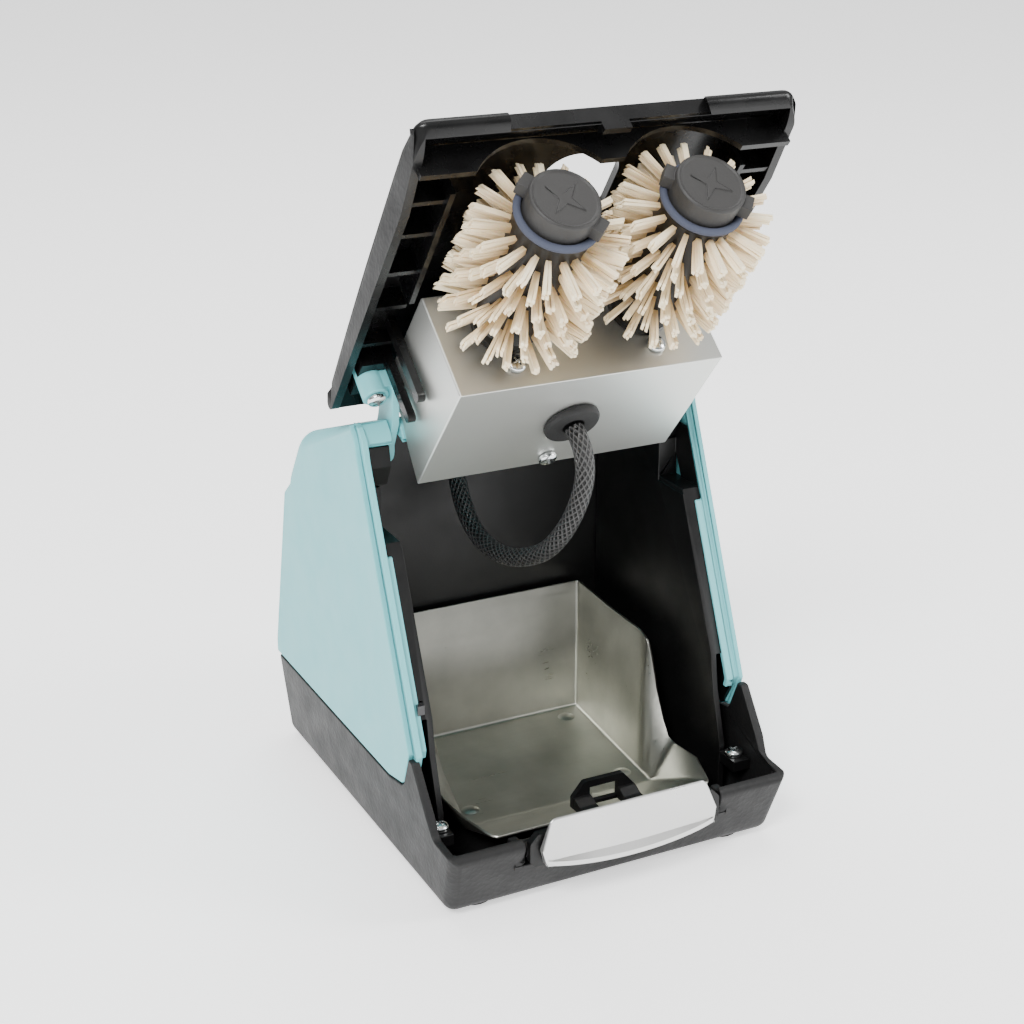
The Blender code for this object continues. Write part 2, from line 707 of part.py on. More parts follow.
def make_lid():
    outer = (
        (12.3, -2.3),
        (15.1, 90.7),
        (19.1, 113.2),
        (24.4, 118.6),
        (26.6, 114.0),
        (lid_skin(104.0), 104.0),
        (lid_skin(84.0), 84.0),
        (lid_skin(60.0), 60.0),
        (lid_skin(30.0), 30.0),
        (lid_skin(9.9), 9.9),
    )
    mesh = slab("lid_shell", outer, -LID_HALF, LID_HALF)
    round_edges(mesh, 3.4, 3, lambda p: p.y > 17.0 and abs(p.x) > 50.0 and p.z < 116.0)
    lid = add_part("lid_shell", mesh, "black_textured", LID)
    inner = [(-10.0, 1.6), (13.0, 1.2), (lid_skin(11.0) - 3.6, 11.4)]
    inner += [(lid_skin(z) - LID_WALL, z) for z in (16.0, 60.0, 84.0, 104.0)]
    inner += [(24.4, 111.6), (21.4, 114.6), (16.4, 112.8), (-10.0, 90.7)]
    cut(lid, slab("lid_inside", inner, -LID_HALF + LID_WALL, LID_HALF - LID_WALL))
    wall_low = (-LID_HALF + 1.0, LID_HALF - 1.0)
    cross = block("cross_wall", wall_low, (15.1, 24.4), (105.0, 106.8))
    join(lid, cross)
    for side in (-1.0, 1.0):
        axis = (side * BRUSH_X, BRUSH_Y)
        arch = rod(pair_name("arch", side), (*axis, 100.0), (*axis, 109.6), 22.6, sides=48)
        cut(lid, arch)
        for index, z in enumerate((13.4, 48.4, 64.2, 80.7)):
            limits = sided(side, 44.4, 56.0), (14.9, lid_skin(z) - 1.0), (z - 0.8, z + 0.8)
            rib = block(pair_name(f"rib_{index}", side), *limits)
            join(lid, rib)
        outline = ((13.6, 52.0), (15.2, 98.0), (lid_skin(98.0) - 1.0, 98.0), (lid_skin(52.0) - 1.0, 52.0))
        wall = slab(pair_name("long_wall", side), outline, *sided(side, 43.6, 45.2))
        join(lid, wall)
        for index, (low, high) in enumerate(((22.4, 25.4), (33.0, 36.4))):
            root = ((lid_skin(high) - 1.0, high), (lid_skin(low) - 1.0, low))
            finger = rounded(((-7.6, low, 1.2), (-7.6, high, 1.2), *root), 3)
            join(lid, slab(pair_name(f"finger_{index}", side), finger, *sided(side, 42.9, 45.3)))
    catch = ((24.6, 115.4), (18.8, 115.4), (18.8, 112.4), (20.4, 111.2), (24.6, 111.2))
    join(lid, slab("catch_tab", catch, -4.2, 4.2))
    opening = rounded(((-12.0, 68.0, 9.0), (12.0, 68.0, 9.0), (12.0, 97.0, 9.0), (-12.0, 97.0, 9.0)), 5)
    hole = slab("insertion_hole", opening, 18.0, 34.0, BACKWARDS)
    cut(lid, hole)
    relief = rounded(((-31.0, 114.4), (29.4, 114.4), (24.0, 125.0), (-31.0, 125.0)), 2)
    notch = slab("edge_notch", relief, 10.0, 40.0, BACKWARDS)
    cut(lid, notch)
    return lid


def make_hinge_arm(side):
    """Arm from the hinge pin to a boss under the lid's skin."""
    name = pair_name("hinge_arm", side)
    knuckle = arc((0.0, 0.0), 5.6, 130.0, 330.0, 12)
    plate = knuckle + [(7.0, 6.0), (14.0, BOSS_Z + 3.0), (5.0, BOSS_Z + 3.0), (-1.6, 12.6)]
    arm = add_part(name, slab(name, plate, *sided(side, ARM_INNER, ARM_OUTER)), "aqua", LID)
    limits = sided(side, ARM_OUTER - 0.4, BOSS_X), (6.4, 12.4), (BOSS_Z - 3.4, BOSS_Z + 3.4)
    bridge = block(f"{name}_bridge", *limits)
    join(arm, bridge)
    boss = rod(f"{name}_boss", (side * BOSS_X, 5.0, BOSS_Z), (side * BOSS_X, 17.6, BOSS_Z), 4.0, sides=24)
    join(arm, boss)
    bore = rod(f"{name}_bore", (side * 40.0, 0.0, 0.0), (side * 48.0, 0.0, 0.0), PIN_RADIUS + GAP, sides=16)
    cut(arm, bore)
    thread = rod(f"{name}_thread", (side * BOSS_X, 0.0, BOSS_Z), (side * BOSS_X, 14.0, BOSS_Z), 1.7, sides=12)
    cut(arm, thread)
    pan_screw(pair_name("hinge_screw", side), LID, (side * BOSS_X, 4.7, BOSS_Z), (math.pi / 2.0, 0.0, 0.0))
    return arm


def make_motor_box():
    outer = (
        (BOX_FRONT, BOX_TOP),
        (BOX_BACK, BOX_TOP),
        (BOX_BACK, 13.2),
        (-1.0, 13.2),
        (-8.0, 10.2),
        (BOX_FRONT, 7.4),
    )
    box = add_part("motor_box", slab("motor_box", outer, -BOX_HALF, BOX_HALF), "galvanised", LID)
    inner = (
        (BOX_FRONT + SHEET, BOX_TOP - SHEET),
        (BOX_BACK + 5.0, BOX_TOP - SHEET),
        (BOX_BACK + 5.0, 14.4),
        (-1.4, 14.4),
        (-8.2, 11.4),
        (BOX_FRONT + SHEET, 8.8),
    )
    cut(box, slab("box_inside", inner, -BOX_HALF + SHEET, BOX_HALF - SHEET))
    cut(box, rod("cable_hole", (0.0, -22.0, GROMMET_Z), (0.0, -16.0, GROMMET_Z), 6.4, sides=24))
    cut(box, rod("front_screw_hole", (-1.0, -22.0, 11.6), (-1.0, -16.0, 11.6), 1.7, sides=12))
    for side in (-1.0, 1.0):
        axis = (side * BRUSH_X, BRUSH_Y)
        cut(box, rod(pair_name("shaft_hole", side), (*axis, 50.0), (*axis, 58.0), 5.6, sides=24))
        screw = (side * 22.4, -12.0)
        cut(box, rod(pair_name("top_screw_hole", side), (*screw, 50.0), (*screw, 58.0), 1.7, sides=12))
        pan_screw(pair_name("box_screw", side), LID, (*screw, BOX_TOP + GAP), None, length=4.0)
    pan_screw("front_screw", LID, (-1.0, BOX_FRONT - GAP, 11.6), (math.pi / 2.0, 0.0, 0.0))
    plate = block("motor_plate", (-40.6, 40.6), (13.4, 14.8), (16.0, 52.4))
    add_part("motor_plate", plate, "galvanised", LID)
    profile = ((3.3, -2.4), (8.6, -2.4), (8.6, -0.3), (6.1, -0.3), (6.1, 1.6), (3.3, 1.6))
    place = (0.0, BOX_FRONT, GROMMET_Z)
    turned("cable_grommet", profile[::-1], "rubber", LID, place, (-math.pi / 2.0, 0.0, 0.0))
    return box


def make_brush(side, pivot):
    """Gear motor and bush on the lid; spindle, core, bristles, ring and cap on the turning brush."""
    motor = pair_name("gear_motor", side)
    profile = ((0.0, 50.6), (4.6, 50.6), (4.6, 48.6), (MOTOR_RADIUS, 48.6), (MOTOR_RADIUS, 18.0), (0.0, 18.0))
    turned(motor, profile, "steel", LID, (side * BRUSH_X, BRUSH_Y, 0.0))
    bush = ((2.4, 57.6), (7.6, 57.6), (9.3, 56.4), (9.3, 54.3), (2.4, 54.3))
    turned(pair_name("shaft_bush", side), bush, "black_smooth", LID, (side * BRUSH_X, BRUSH_Y, 0.0))
    spindle = ((0.0, 84.0), (2.0, 84.0), (2.0, 50.9), (0.0, 50.9))
    turned(pair_name("brush_spindle", side), spindle, "steel", pivot, (0.0, 0.0, 0.0), steps=16)
    outside = ((0.0, CORE_TOP), (CORE_RADIUS, CORE_TOP), (CORE_RADIUS, 60.4))
    core = (*outside, (2.3, 60.4), (2.3, 84.3), (0.0, 84.3))
    turned(pair_name("brush_core", side), core, "black_smooth", pivot, (0.0, 0.0, 0.0))
    rows = [(CORE_RADIUS + GAP, TUFT_TO)]
    pitch = (TUFT_TO - TUFT_FROM) / TUFT_ROWS
    for row in range(TUFT_ROWS):
        top = TUFT_TO - row * pitch
        rows += [(TUFT_RADIUS, top - 1.0), (TUFT_RADIUS, top - 4.2), (15.0, top - pitch + 0.5)]
    rows[-1] = (CORE_RADIUS + GAP, TUFT_FROM)
    turned(pair_name("brush_bristles", side), rows, "bristle", pivot, (0.0, 0.0, 0.0))
    ring = ((9.5, 105.4), (11.2, 105.4), (11.9, 104.6), (11.9, 104.0), (11.2, 103.3), (9.5, 103.3))
    turned(pair_name("brush_ring", side), ring, "ring_rubber", pivot, (0.0, 0.0, 0.0))
    cap_name = pair_name("brush_cap", side)
    crown = ((0.0, CAP_TOP), (CAP_RADIUS - 0.7, CAP_TOP), (CAP_RADIUS, CAP_TOP - 0.7), (CAP_RADIUS, 106.0))
    cap_profile = (*crown, (CAP_NECK, 105.7), (CAP_NECK, 103.3), (0.0, 103.3))
    cap = turned(cap_name, cap_profile, "black_smooth", pivot, (0.0, 0.0, 0.0))
    join(cap, block(f"{cap_name}_tabs", (-11.5, 11.5), (-2.3, 2.3), (106.4, 109.2)))


# ---------------------------------------------------------------- cable
def make_cable():
    """Sleeved cable hanging from the motor box to the gland."""
    route = [Vector(point) for point in CABLE_ROUTE]
    route = [route[0] * 2.0 - route[1]] + route + [route[-1] * 2.0 - route[-2]]
    points = []
    parts = 2
    for index in range(1, len(route) - 2):
        before, start, end, after = route[index - 1:index + 3]
        for step in range(parts):
            t = step / parts
            points.append(
                0.5 * (2.0 * start + (end - before) * t
                       + (2.0 * before - 5.0 * start + 4.0 * end - after) * t * t
                       + (3.0 * start - before - 3.0 * end + after) * t * t * t)
            )
    points.append(route[-2])
    data = bpy.data.curves.new("sleeved_cable", "CURVE")
    data.dimensions = "3D"
    data.bevel_depth = CABLE_RADIUS * MM
    data.bevel_resolution = 2
    data.use_fill_caps = True
    spline = data.splines.new("POLY")
    spline.points.add(len(points) - 1)
    for target, point in zip(spline.points, points):
        target.co = (*(point * MM), 1.0)
    mesh = curve_to_mesh("sleeved_cable", data, Matrix.Identity(4))
    add_part("sleeved_cable", mesh, "sleeve", HOUSING)


def main():
    make_base()
    make_shell()
    make_rear_liner()
    make_feet_and_screws()
    make_electronics()
    make_tray()
    make_latch()
    make_lid()
    make_motor_box()
    for side in (-1.0, 1.0):
        make_inner_frame(side)
        make_hinge_block(side)
        make_hinge_arm(side)
        pivot = make_frame(pair_name("brush_axis", side), (side * BRUSH_X * MM, BRUSH_Y * MM, 0.0), 0.0, LID)
        make_brush(side, pivot)
    make_cable()


main()
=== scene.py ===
"""Motor-driven twin-brush tip cleaner: finished pieces, materials and stage around its working model.

Outlines are in millimetres. The housing's are measured from the base's front bottom edge, y to the
back and z up. The lid's are measured from its hinge: y along the lid's outward normal and z along
the lid, away from the hinge.
"""
import json
import math
import random

import bmesh
import bpy
from mathutils import Matrix, Vector


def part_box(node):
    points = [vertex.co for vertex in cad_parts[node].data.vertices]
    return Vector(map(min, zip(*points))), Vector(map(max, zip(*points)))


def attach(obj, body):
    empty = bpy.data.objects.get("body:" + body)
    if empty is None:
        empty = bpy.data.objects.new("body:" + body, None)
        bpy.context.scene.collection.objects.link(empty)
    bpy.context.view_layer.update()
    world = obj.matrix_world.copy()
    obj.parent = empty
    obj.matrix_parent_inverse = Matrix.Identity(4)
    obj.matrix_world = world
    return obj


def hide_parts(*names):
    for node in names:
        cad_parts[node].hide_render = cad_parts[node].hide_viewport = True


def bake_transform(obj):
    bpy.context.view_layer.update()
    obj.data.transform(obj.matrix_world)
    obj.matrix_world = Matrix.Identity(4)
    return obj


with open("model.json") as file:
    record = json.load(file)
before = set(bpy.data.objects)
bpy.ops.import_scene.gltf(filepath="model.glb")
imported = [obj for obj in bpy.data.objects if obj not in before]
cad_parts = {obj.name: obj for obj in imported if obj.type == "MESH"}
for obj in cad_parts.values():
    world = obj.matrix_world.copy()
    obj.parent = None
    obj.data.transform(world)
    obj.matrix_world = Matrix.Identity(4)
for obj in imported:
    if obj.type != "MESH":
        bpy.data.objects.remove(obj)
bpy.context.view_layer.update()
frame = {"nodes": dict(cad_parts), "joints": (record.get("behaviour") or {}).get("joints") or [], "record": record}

bl_info = {
    "name": "Tip Cleaner Finish",
    "version": (1, 0, 0),
    "blender": (4, 5, 0),
    "location": "View3D > Sidebar > Tip Cleaner",
    "description": "Builds the finished pieces of a twin-brush soldering tip cleaner",
    "category": "Object",
}

MM = 0.001
JOINTS = {joint["name"]: joint for joint in frame["joints"]}
HINGE = Vector(JOINTS["lid_hinge"]["pos_m"])
BRUSH_AXIS = Vector(JOINTS["brush_left_spin"]["axis"])
BASE_LOW, BASE_HIGH = (Vector(corner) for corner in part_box("base_tub"))

# Places of the two sets of outlines in the world
BASE_BACK = 133.2
HOUSE = Matrix.Translation((0.0, BASE_HIGH.y - BASE_BACK * MM, BASE_LOW.z))
LID = Matrix.Translation(HINGE) @ Matrix.Rotation(math.atan2(-BRUSH_AXIS.y, BRUSH_AXIS.z), 4, "X")
BRUSH_Y = 0.6
BRUSH_X = 21.9

# Length of sleeve covered by one repeat of the braid, in metres
BRAID_REPEAT = 0.009

# Route of the sleeved cable, as the working model has it
CABLE_ROUTE = (
    (0.0, 29.2, 131.2),
    (0.3, 26.4, 128.4),
    (0.9, 24.4, 123.4),
    (0.9, 24.2, 116.4),
    (-0.4, 26.2, 107.6),
    (-2.4, 30.6, 98.6),
    (-4.2, 38.2, 90.4),
    (-6.0, 48.4, 84.8),
    (-7.4, 59.4, 81.6),
    (-8.4, 70.4, 81.4),
    (-8.9, 79.6, 84.4),
    (-9.0, 86.6, 90.2),
    (-8.7, 91.2, 97.0),
    (-8.3, 94.4, 102.4),
    (-8.0, 98.4, 104.9),
)


# ------------------------------------------------------------------ settings
class TipCleanerSizes(bpy.types.PropertyGroup):
    """Sizes that change the finished look and keep the working model's."""

    tuft_radius: bpy.props.FloatProperty(
        name="Brush Radius", description="Radius over the bristle ends", default=22.6 * MM, unit="LENGTH"
    )
    tuft_rows: bpy.props.IntProperty(
        name="Bristle Rows", description="Rows of tufts on each brush", default=7
    )
    tufts_per_row: bpy.props.IntProperty(name="Tufts per Row", description="Tufts round one row", default=19)
    strands: bpy.props.IntProperty(name="Strands", description="Strands in one tuft", default=6)
    cable_radius: bpy.props.FloatProperty(
        name="Sleeve Radius", description="Radius of the braided sleeve", default=2.9 * MM, unit="LENGTH"
    )


class TipCleanerColours(bpy.types.PropertyGroup):
    """Colours of the main surfaces."""

    shell: bpy.props.FloatVectorProperty(
        name="Shell", description="Pale aqua shell", default=(0.17, 0.53, 0.56), subtype="COLOR", size=3
    )
    black: bpy.props.FloatVectorProperty(
        name="Black Plastic", description="Moulded black parts", default=(0.0036, 0.0036, 0.0037),
        subtype="COLOR", size=3
    )
    bristle: bpy.props.FloatVectorProperty(
        name="Bristle", description="Natural fibre", default=(0.96, 0.80, 0.54), subtype="COLOR", size=3
    )
    tray: bpy.props.FloatVectorProperty(
        name="Tray", description="Rolled stainless sheet", default=(0.50, 0.50, 0.45), subtype="COLOR", size=3
    )


# ------------------------------------------------------------------ mesh helpers
def rounded(points, steps=8):
    """Outline with the corners (a, b, radius) turned into arcs; a corner (a, b) stays sharp."""
    outline = []
    for index, point in enumerate(points):
        corner = Vector(point[:2])
        if len(point) < 3:
            outline.append(tuple(corner))
            continue
        to_last = (Vector(points[index - 1][:2]) - corner).normalized()
        to_next = (Vector(points[(index + 1) % len(points)][:2]) - corner).normalized()
        half = to_last.angle(to_next) / 2.0
        reach = point[2] / math.tan(half)
        centre = corner + (to_last + to_next).normalized() * (point[2] / math.sin(half))
        start = corner + to_last * reach - centre
        sweep = start.angle_signed(corner + to_next * reach - centre)
        for step in range(steps + 1):
            outline.append(tuple(centre + Matrix.Rotation(-sweep * step / steps, 2) @ start))
    return outline


def arc(centre, radius, first, last, steps):
    """Points on a circle, angles in degrees from the first axis towards the second."""
    angles = (math.radians(first + (last - first) * k / steps) for k in range(steps + 1))
    return [(centre[0] + radius * math.cos(a), centre[1] + radius * math.sin(a)) for a in angles]


def smooth_path(route, parts):
    """Points on one smooth curve through the route's own points."""
    points = [Vector(point) for point in route]
    points = [points[0] * 2.0 - points[1]] + points + [points[-1] * 2.0 - points[-2]]
    path = []
    for index in range(1, len(points) - 2):
        before, start, end, after = points[index - 1:index + 3]
        for step in range(parts):
            t = step / parts
            line = 2.0 * start + (end - before) * t
            bend = (2.0 * before - 5.0 * start + 4.0 * end - after) * t * t
            twist = (3.0 * start - before - 3.0 * end + after) * t * t * t
            path.append((line + bend + twist) * 0.5)
    path.append(points[-2])
    return path


SIDEWAYS = Matrix(((0, 0, 1, 0), (1, 0, 0, 0), (0, 1, 0, 0), (0, 0, 0, 1)))
BACKWARDS = Matrix(((1, 0, 0, 0), (0, 0, 1, 0), (0, 1, 0, 0), (0, 0, 0, 1)))
UPWARDS = Matrix.Identity(4)

# Points nearer than these, in metres, are merged
SAME_POINT = 0.000005
SAME_CORNER = 0.00001
COPIED_POINT = 0.000002
BEVEL_SLIVER = 0.00004
CUT_SLIVER = 0.00006


def tidy(mesh):
    """Merge doubles and turn every face outwards."""
    work = bmesh.new()
    work.from_mesh(mesh)
    bmesh.ops.remove_doubles(work, verts=work.verts, dist=SAME_POINT)
    bmesh.ops.recalc_face_normals(work, faces=work.faces)
    work.to_mesh(mesh)
    work.free()
    return mesh


def evaluated_mesh(obj):
    """The object's mesh with its modifiers applied; the object itself is removed."""
    depsgraph = bpy.context.evaluated_depsgraph_get()
    mesh = bpy.data.meshes.new_from_object(obj.evaluated_get(depsgraph))
    bpy.data.objects.remove(obj, do_unlink=True)
    return mesh


def temporary(name, data):
    """Helper object in the scene; evaluated_mesh removes it."""
    obj = bpy.data.objects.new(name, data)
    bpy.context.scene.collection.objects.link(obj)
    return obj


def slab(outline, low, high, facing=SIDEWAYS):
    """Flat outline given a thickness from low to high: across x, up z, or back along y."""
    data = bpy.data.curves.new("outline", "CURVE")
    data.dimensions = "2D"
    data.fill_mode = "BOTH"
    data.extrude = (high - low) / 2.0 * MM
    spline = data.splines.new("POLY")
    spline.points.add(len(outline) - 1)
    for point, (a, b) in zip(spline.points, outline):
        point.co = (a * MM, b * MM, 0.0, 1.0)
    spline.use_cyclic_u = True
    mesh = evaluated_mesh(temporary("outline", data))
    mesh.transform(facing @ Matrix.Translation((0.0, 0.0, (low + high) / 2.0 * MM)))
    return tidy(mesh)


def block(x, y, z):
    """Box between pairs of limits."""
    mesh = bpy.data.meshes.new("block")
    work = bmesh.new()
    bmesh.ops.create_cube(work, size=1.0)
    size = Vector((x[1] - x[0], y[1] - y[0], z[1] - z[0])) * MM
    centre = Vector((x[0] + x[1], y[0] + y[1], z[0] + z[1])) * (MM / 2.0)
    place = Matrix.Translation(centre) @ Matrix.Diagonal((*size, 1.0))
    bmesh.ops.transform(work, matrix=place, verts=work.verts)
    work.to_mesh(mesh)
    work.free()
    return mesh


def turned(profile, steps=48):
    """Mesh turned about z from a profile (radius, height) that runs down its outer side."""
    mesh = bpy.data.meshes.new("profile")
    work = bmesh.new()
    verts = [work.verts.new((radius * MM, 0.0, height * MM)) for radius, height in profile]
    for first, second in zip(verts, verts[1:]):
        work.edges.new((first, second))
    if profile[0][0] > 0.0:
        work.edges.new((verts[-1], verts[0]))
    work.to_mesh(mesh)
    work.free()
    obj = temporary("turning", mesh)
    screw = obj.modifiers.new("turn", "SCREW")
    screw.axis = "Z"
    screw.steps = steps
    screw.render_steps = steps
    screw.use_merge_vertices = True
    screw.merge_threshold = SAME_CORNER
    return tidy(evaluated_mesh(obj))


def rod(start, end, radius, sides=32):
    """Cylinder between two points."""
    first = Vector(start) * MM
    last = Vector(end) * MM
    mesh = bpy.data.meshes.new("rod")
    work = bmesh.new()
    length = (last - first).length
    wide = radius * MM
    bmesh.ops.create_cone(work, cap_ends=True, segments=sides, radius1=wide, radius2=wide, depth=length)
    turn = (last - first).to_track_quat("Z", "Y").to_matrix().to_4x4()
    bmesh.ops.transform(work, matrix=Matrix.Translation((first + last) / 2.0) @ turn, verts=work.verts)
    work.to_mesh(mesh)
    work.free()
    return mesh


def combined(mesh, cuts=(), joins=()):
    """Mesh with others cut from it and joined to it."""
    obj = temporary("combined", mesh)
    helpers = []
    for operation, others in (("UNION", joins), ("DIFFERENCE", cuts)):
        for other in others:
            helper = temporary("helper", other)
            helpers.append(helper)
            modifier = obj.modifiers.new(operation.lower(), "BOOLEAN")
            modifier.object = helper
            modifier.operation = operation
            modifier.solver = "EXACT"
    result = evaluated_mesh(obj)
    for helper in helpers:
        bpy.data.objects.remove(helper, do_unlink=True)
    return result


def joined(meshes):
    """Several meshes as one, still separate solids."""
    work = bmesh.new()
    for mesh in meshes:
        work.from_mesh(mesh)
    result = bpy.data.meshes.new("joined")
    work.to_mesh(result)
    work.free()
    return result


def placed(mesh, x, y, z, turn=None):
    """Mesh turned and moved, in millimetres."""
    matrix = Matrix.Translation((x * MM, y * MM, z * MM))
    mesh.transform(matrix @ turn if turn else matrix)
    return mesh


def copied(node):
    """A merged copy of a working part's mesh, with its flat faces whole again."""
    mesh = frame["nodes"][node].data.copy()
    work = bmesh.new()
    work.from_mesh(mesh)
    bmesh.ops.remove_doubles(work, verts=work.verts, dist=COPIED_POINT)
    bmesh.ops.dissolve_limit(work, angle_limit=math.radians(0.6), verts=work.verts, edges=work.edges)
    work.to_mesh(mesh)
    work.free()
    mesh.materials.clear()
    return mesh


def add_piece(name, mesh, body, material, place=None, edge=0.0, segments=2, smooth=32.0, clamp=False):
    """Finished piece that rides on a body, with its edges rounded by edge millimetres."""
    if place:
        mesh.transform(place)
    mesh.name = name
    obj = bpy.data.objects.new(name, mesh)
    bpy.context.scene.collection.objects.link(obj)
    mesh.materials.clear()
    mesh.materials.append(material)
    mesh.shade_smooth()
    mesh.set_sharp_from_angle(angle=math.radians(smooth))
    if edge:
        bevel = obj.modifiers.new("rounded edges", "BEVEL")
        bevel.width = edge * MM
        bevel.segments = segments
        bevel.limit_method = "ANGLE"
        bevel.angle_limit = math.radians(smooth)
        bevel.use_clamp_overlap = clamp
        bevel.harden_normals = True
        bevel.miter_outer = "MITER_ARC"
    if body:
        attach(obj, body)
    return obj


def refinish(node, material):
    """Give a working part that shows a better material."""
    mesh = frame["nodes"][node].data
    mesh.materials.clear()
    mesh.materials.append(material)


# ------------------------------------------------------------------ materials
def arrange(rows):
    """Set out rows of nodes from left to right."""
    for row, nodes in enumerate(rows):
        for column, node in enumerate(nodes):
            node.location = (column * 220.0 - 1100.0, 300.0 - row * 320.0)


def new_tree(name):
    """Material of that name with its empty tree, or with None when it stands already."""
    material = bpy.data.materials.get(name)
    if material:
        return material, None
    material = bpy.data.materials.new(name)
    material.use_nodes = True
    material.node_tree.nodes.clear()
    return material, material.node_tree


def moulded(name, colour, roughness, grain=2600.0, depth=0.3, tone=0.12, metallic=0.0, coat=0.0, scuff=0.12):
    """Moulded plastic, rubber or satin paint: fine grain, a little uneven tone and rubbed patches."""
    material, tree = new_tree(name)
    if tree is None:
        return material
    nodes, links = tree.nodes, tree.links
    output = nodes.new("ShaderNodeOutputMaterial")
    output.label = "Surface"
    shader = nodes.new("ShaderNodeBsdfPrincipled")
    shader.name = "Moulding"
    shader.label = "Moulding"
    coords = nodes.new("ShaderNodeTexCoord")
    coords.label = "Place on piece"
    grain_noise = nodes.new("ShaderNodeTexNoise")
    grain_noise.label = "Mould grain"
    cell = nodes.new("ShaderNodeTexVoronoi")
    cell.label = "Grain pits"
    grain_mix = nodes.new("ShaderNodeMath")
    grain_mix.label = "Grain and pits"
    bump = nodes.new("ShaderNodeBump")
    bump.label = "Grain relief"
    tone_noise = nodes.new("ShaderNodeTexNoise")
    tone_noise.label = "Uneven tone"
    tone_mix = nodes.new("ShaderNodeMix")
    tone_mix.label = "Tone of moulding"
    rub_noise = nodes.new("ShaderNodeTexNoise")
    rub_noise.label = "Rubbed patches"
    rub_range = nodes.new("ShaderNodeMapRange")
    rub_range.label = "Roughness of patches"
    relief_frame = nodes.new("NodeFrame")
    relief_frame.label = "Grain"
    tone_frame = nodes.new("NodeFrame")
    tone_frame.label = "Colour"
    rub_frame = nodes.new("NodeFrame")
    rub_frame.label = "Wear"
    grain_noise.parent = relief_frame
    cell.parent = relief_frame
    grain_mix.parent = relief_frame
    bump.parent = relief_frame
    tone_noise.parent = tone_frame
    tone_mix.parent = tone_frame
    rub_noise.parent = rub_frame
    rub_range.parent = rub_frame
    arrange((
        (coords, tone_noise, tone_mix, shader, output),
        (grain_noise, cell, grain_mix, bump),
        (rub_noise, rub_range),
    ))
    grain_noise.inputs["Scale"].default_value = grain
    grain_noise.inputs["Detail"].default_value = 3.0
    cell.inputs["Scale"].default_value = grain * 0.55
    grain_mix.operation = "MULTIPLY"
    bump.inputs["Strength"].default_value = depth
    bump.inputs["Distance"].default_value = 0.0002
    tone_noise.inputs["Scale"].default_value = 60.0
    tone_noise.inputs["Detail"].default_value = 4.0
    tone_mix.data_type = "RGBA"
    tone_mix.inputs["A"].default_value = (*(c * (1.0 - tone) for c in colour), 1.0)
    tone_mix.inputs["B"].default_value = (*(min(1.0, c * (1.0 + tone)) for c in colour), 1.0)
    rub_noise.inputs["Scale"].default_value = 110.0
    rub_noise.inputs["Detail"].default_value = 5.0
    rub_range.inputs["To Min"].default_value = roughness - scuff * 0.5
    rub_range.inputs["To Max"].default_value = min(1.0, roughness + scuff * 0.5)
    rub_range.inputs["From Min"].default_value = 0.3
    rub_range.inputs["From Max"].default_value = 0.7
    shader.inputs["Metallic"].default_value = metallic
    shader.inputs["Specular IOR Level"].default_value = 0.38
    shader.inputs["Coat Weight"].default_value = coat
    shader.inputs["Coat Roughness"].default_value = 0.25
    links.new(coords.outputs["Object"], grain_noise.inputs["Vector"])
    links.new(coords.outputs["Object"], cell.inputs["Vector"])
    links.new(coords.outputs["Object"], tone_noise.inputs["Vector"])
    links.new(coords.outputs["Object"], rub_noise.inputs["Vector"])
    links.new(grain_noise.outputs["Fac"], grain_mix.inputs[0])
    links.new(cell.outputs["Distance"], grain_mix.inputs[1])
    links.new(grain_mix.outputs["Value"], bump.inputs["Height"])
    links.new(tone_noise.outputs["Fac"], tone_mix.inputs["Factor"])
    links.new(rub_noise.outputs["Fac"], rub_range.inputs["Value"])
    links.new(tone_mix.outputs["Result"], shader.inputs["Base Color"])
    links.new(rub_range.outputs["Result"], shader.inputs["Roughness"])
    links.new(bump.outputs["Normal"], shader.inputs["Normal"])
    links.new(shader.outputs["BSDF"], output.inputs["Surface"])
    return material


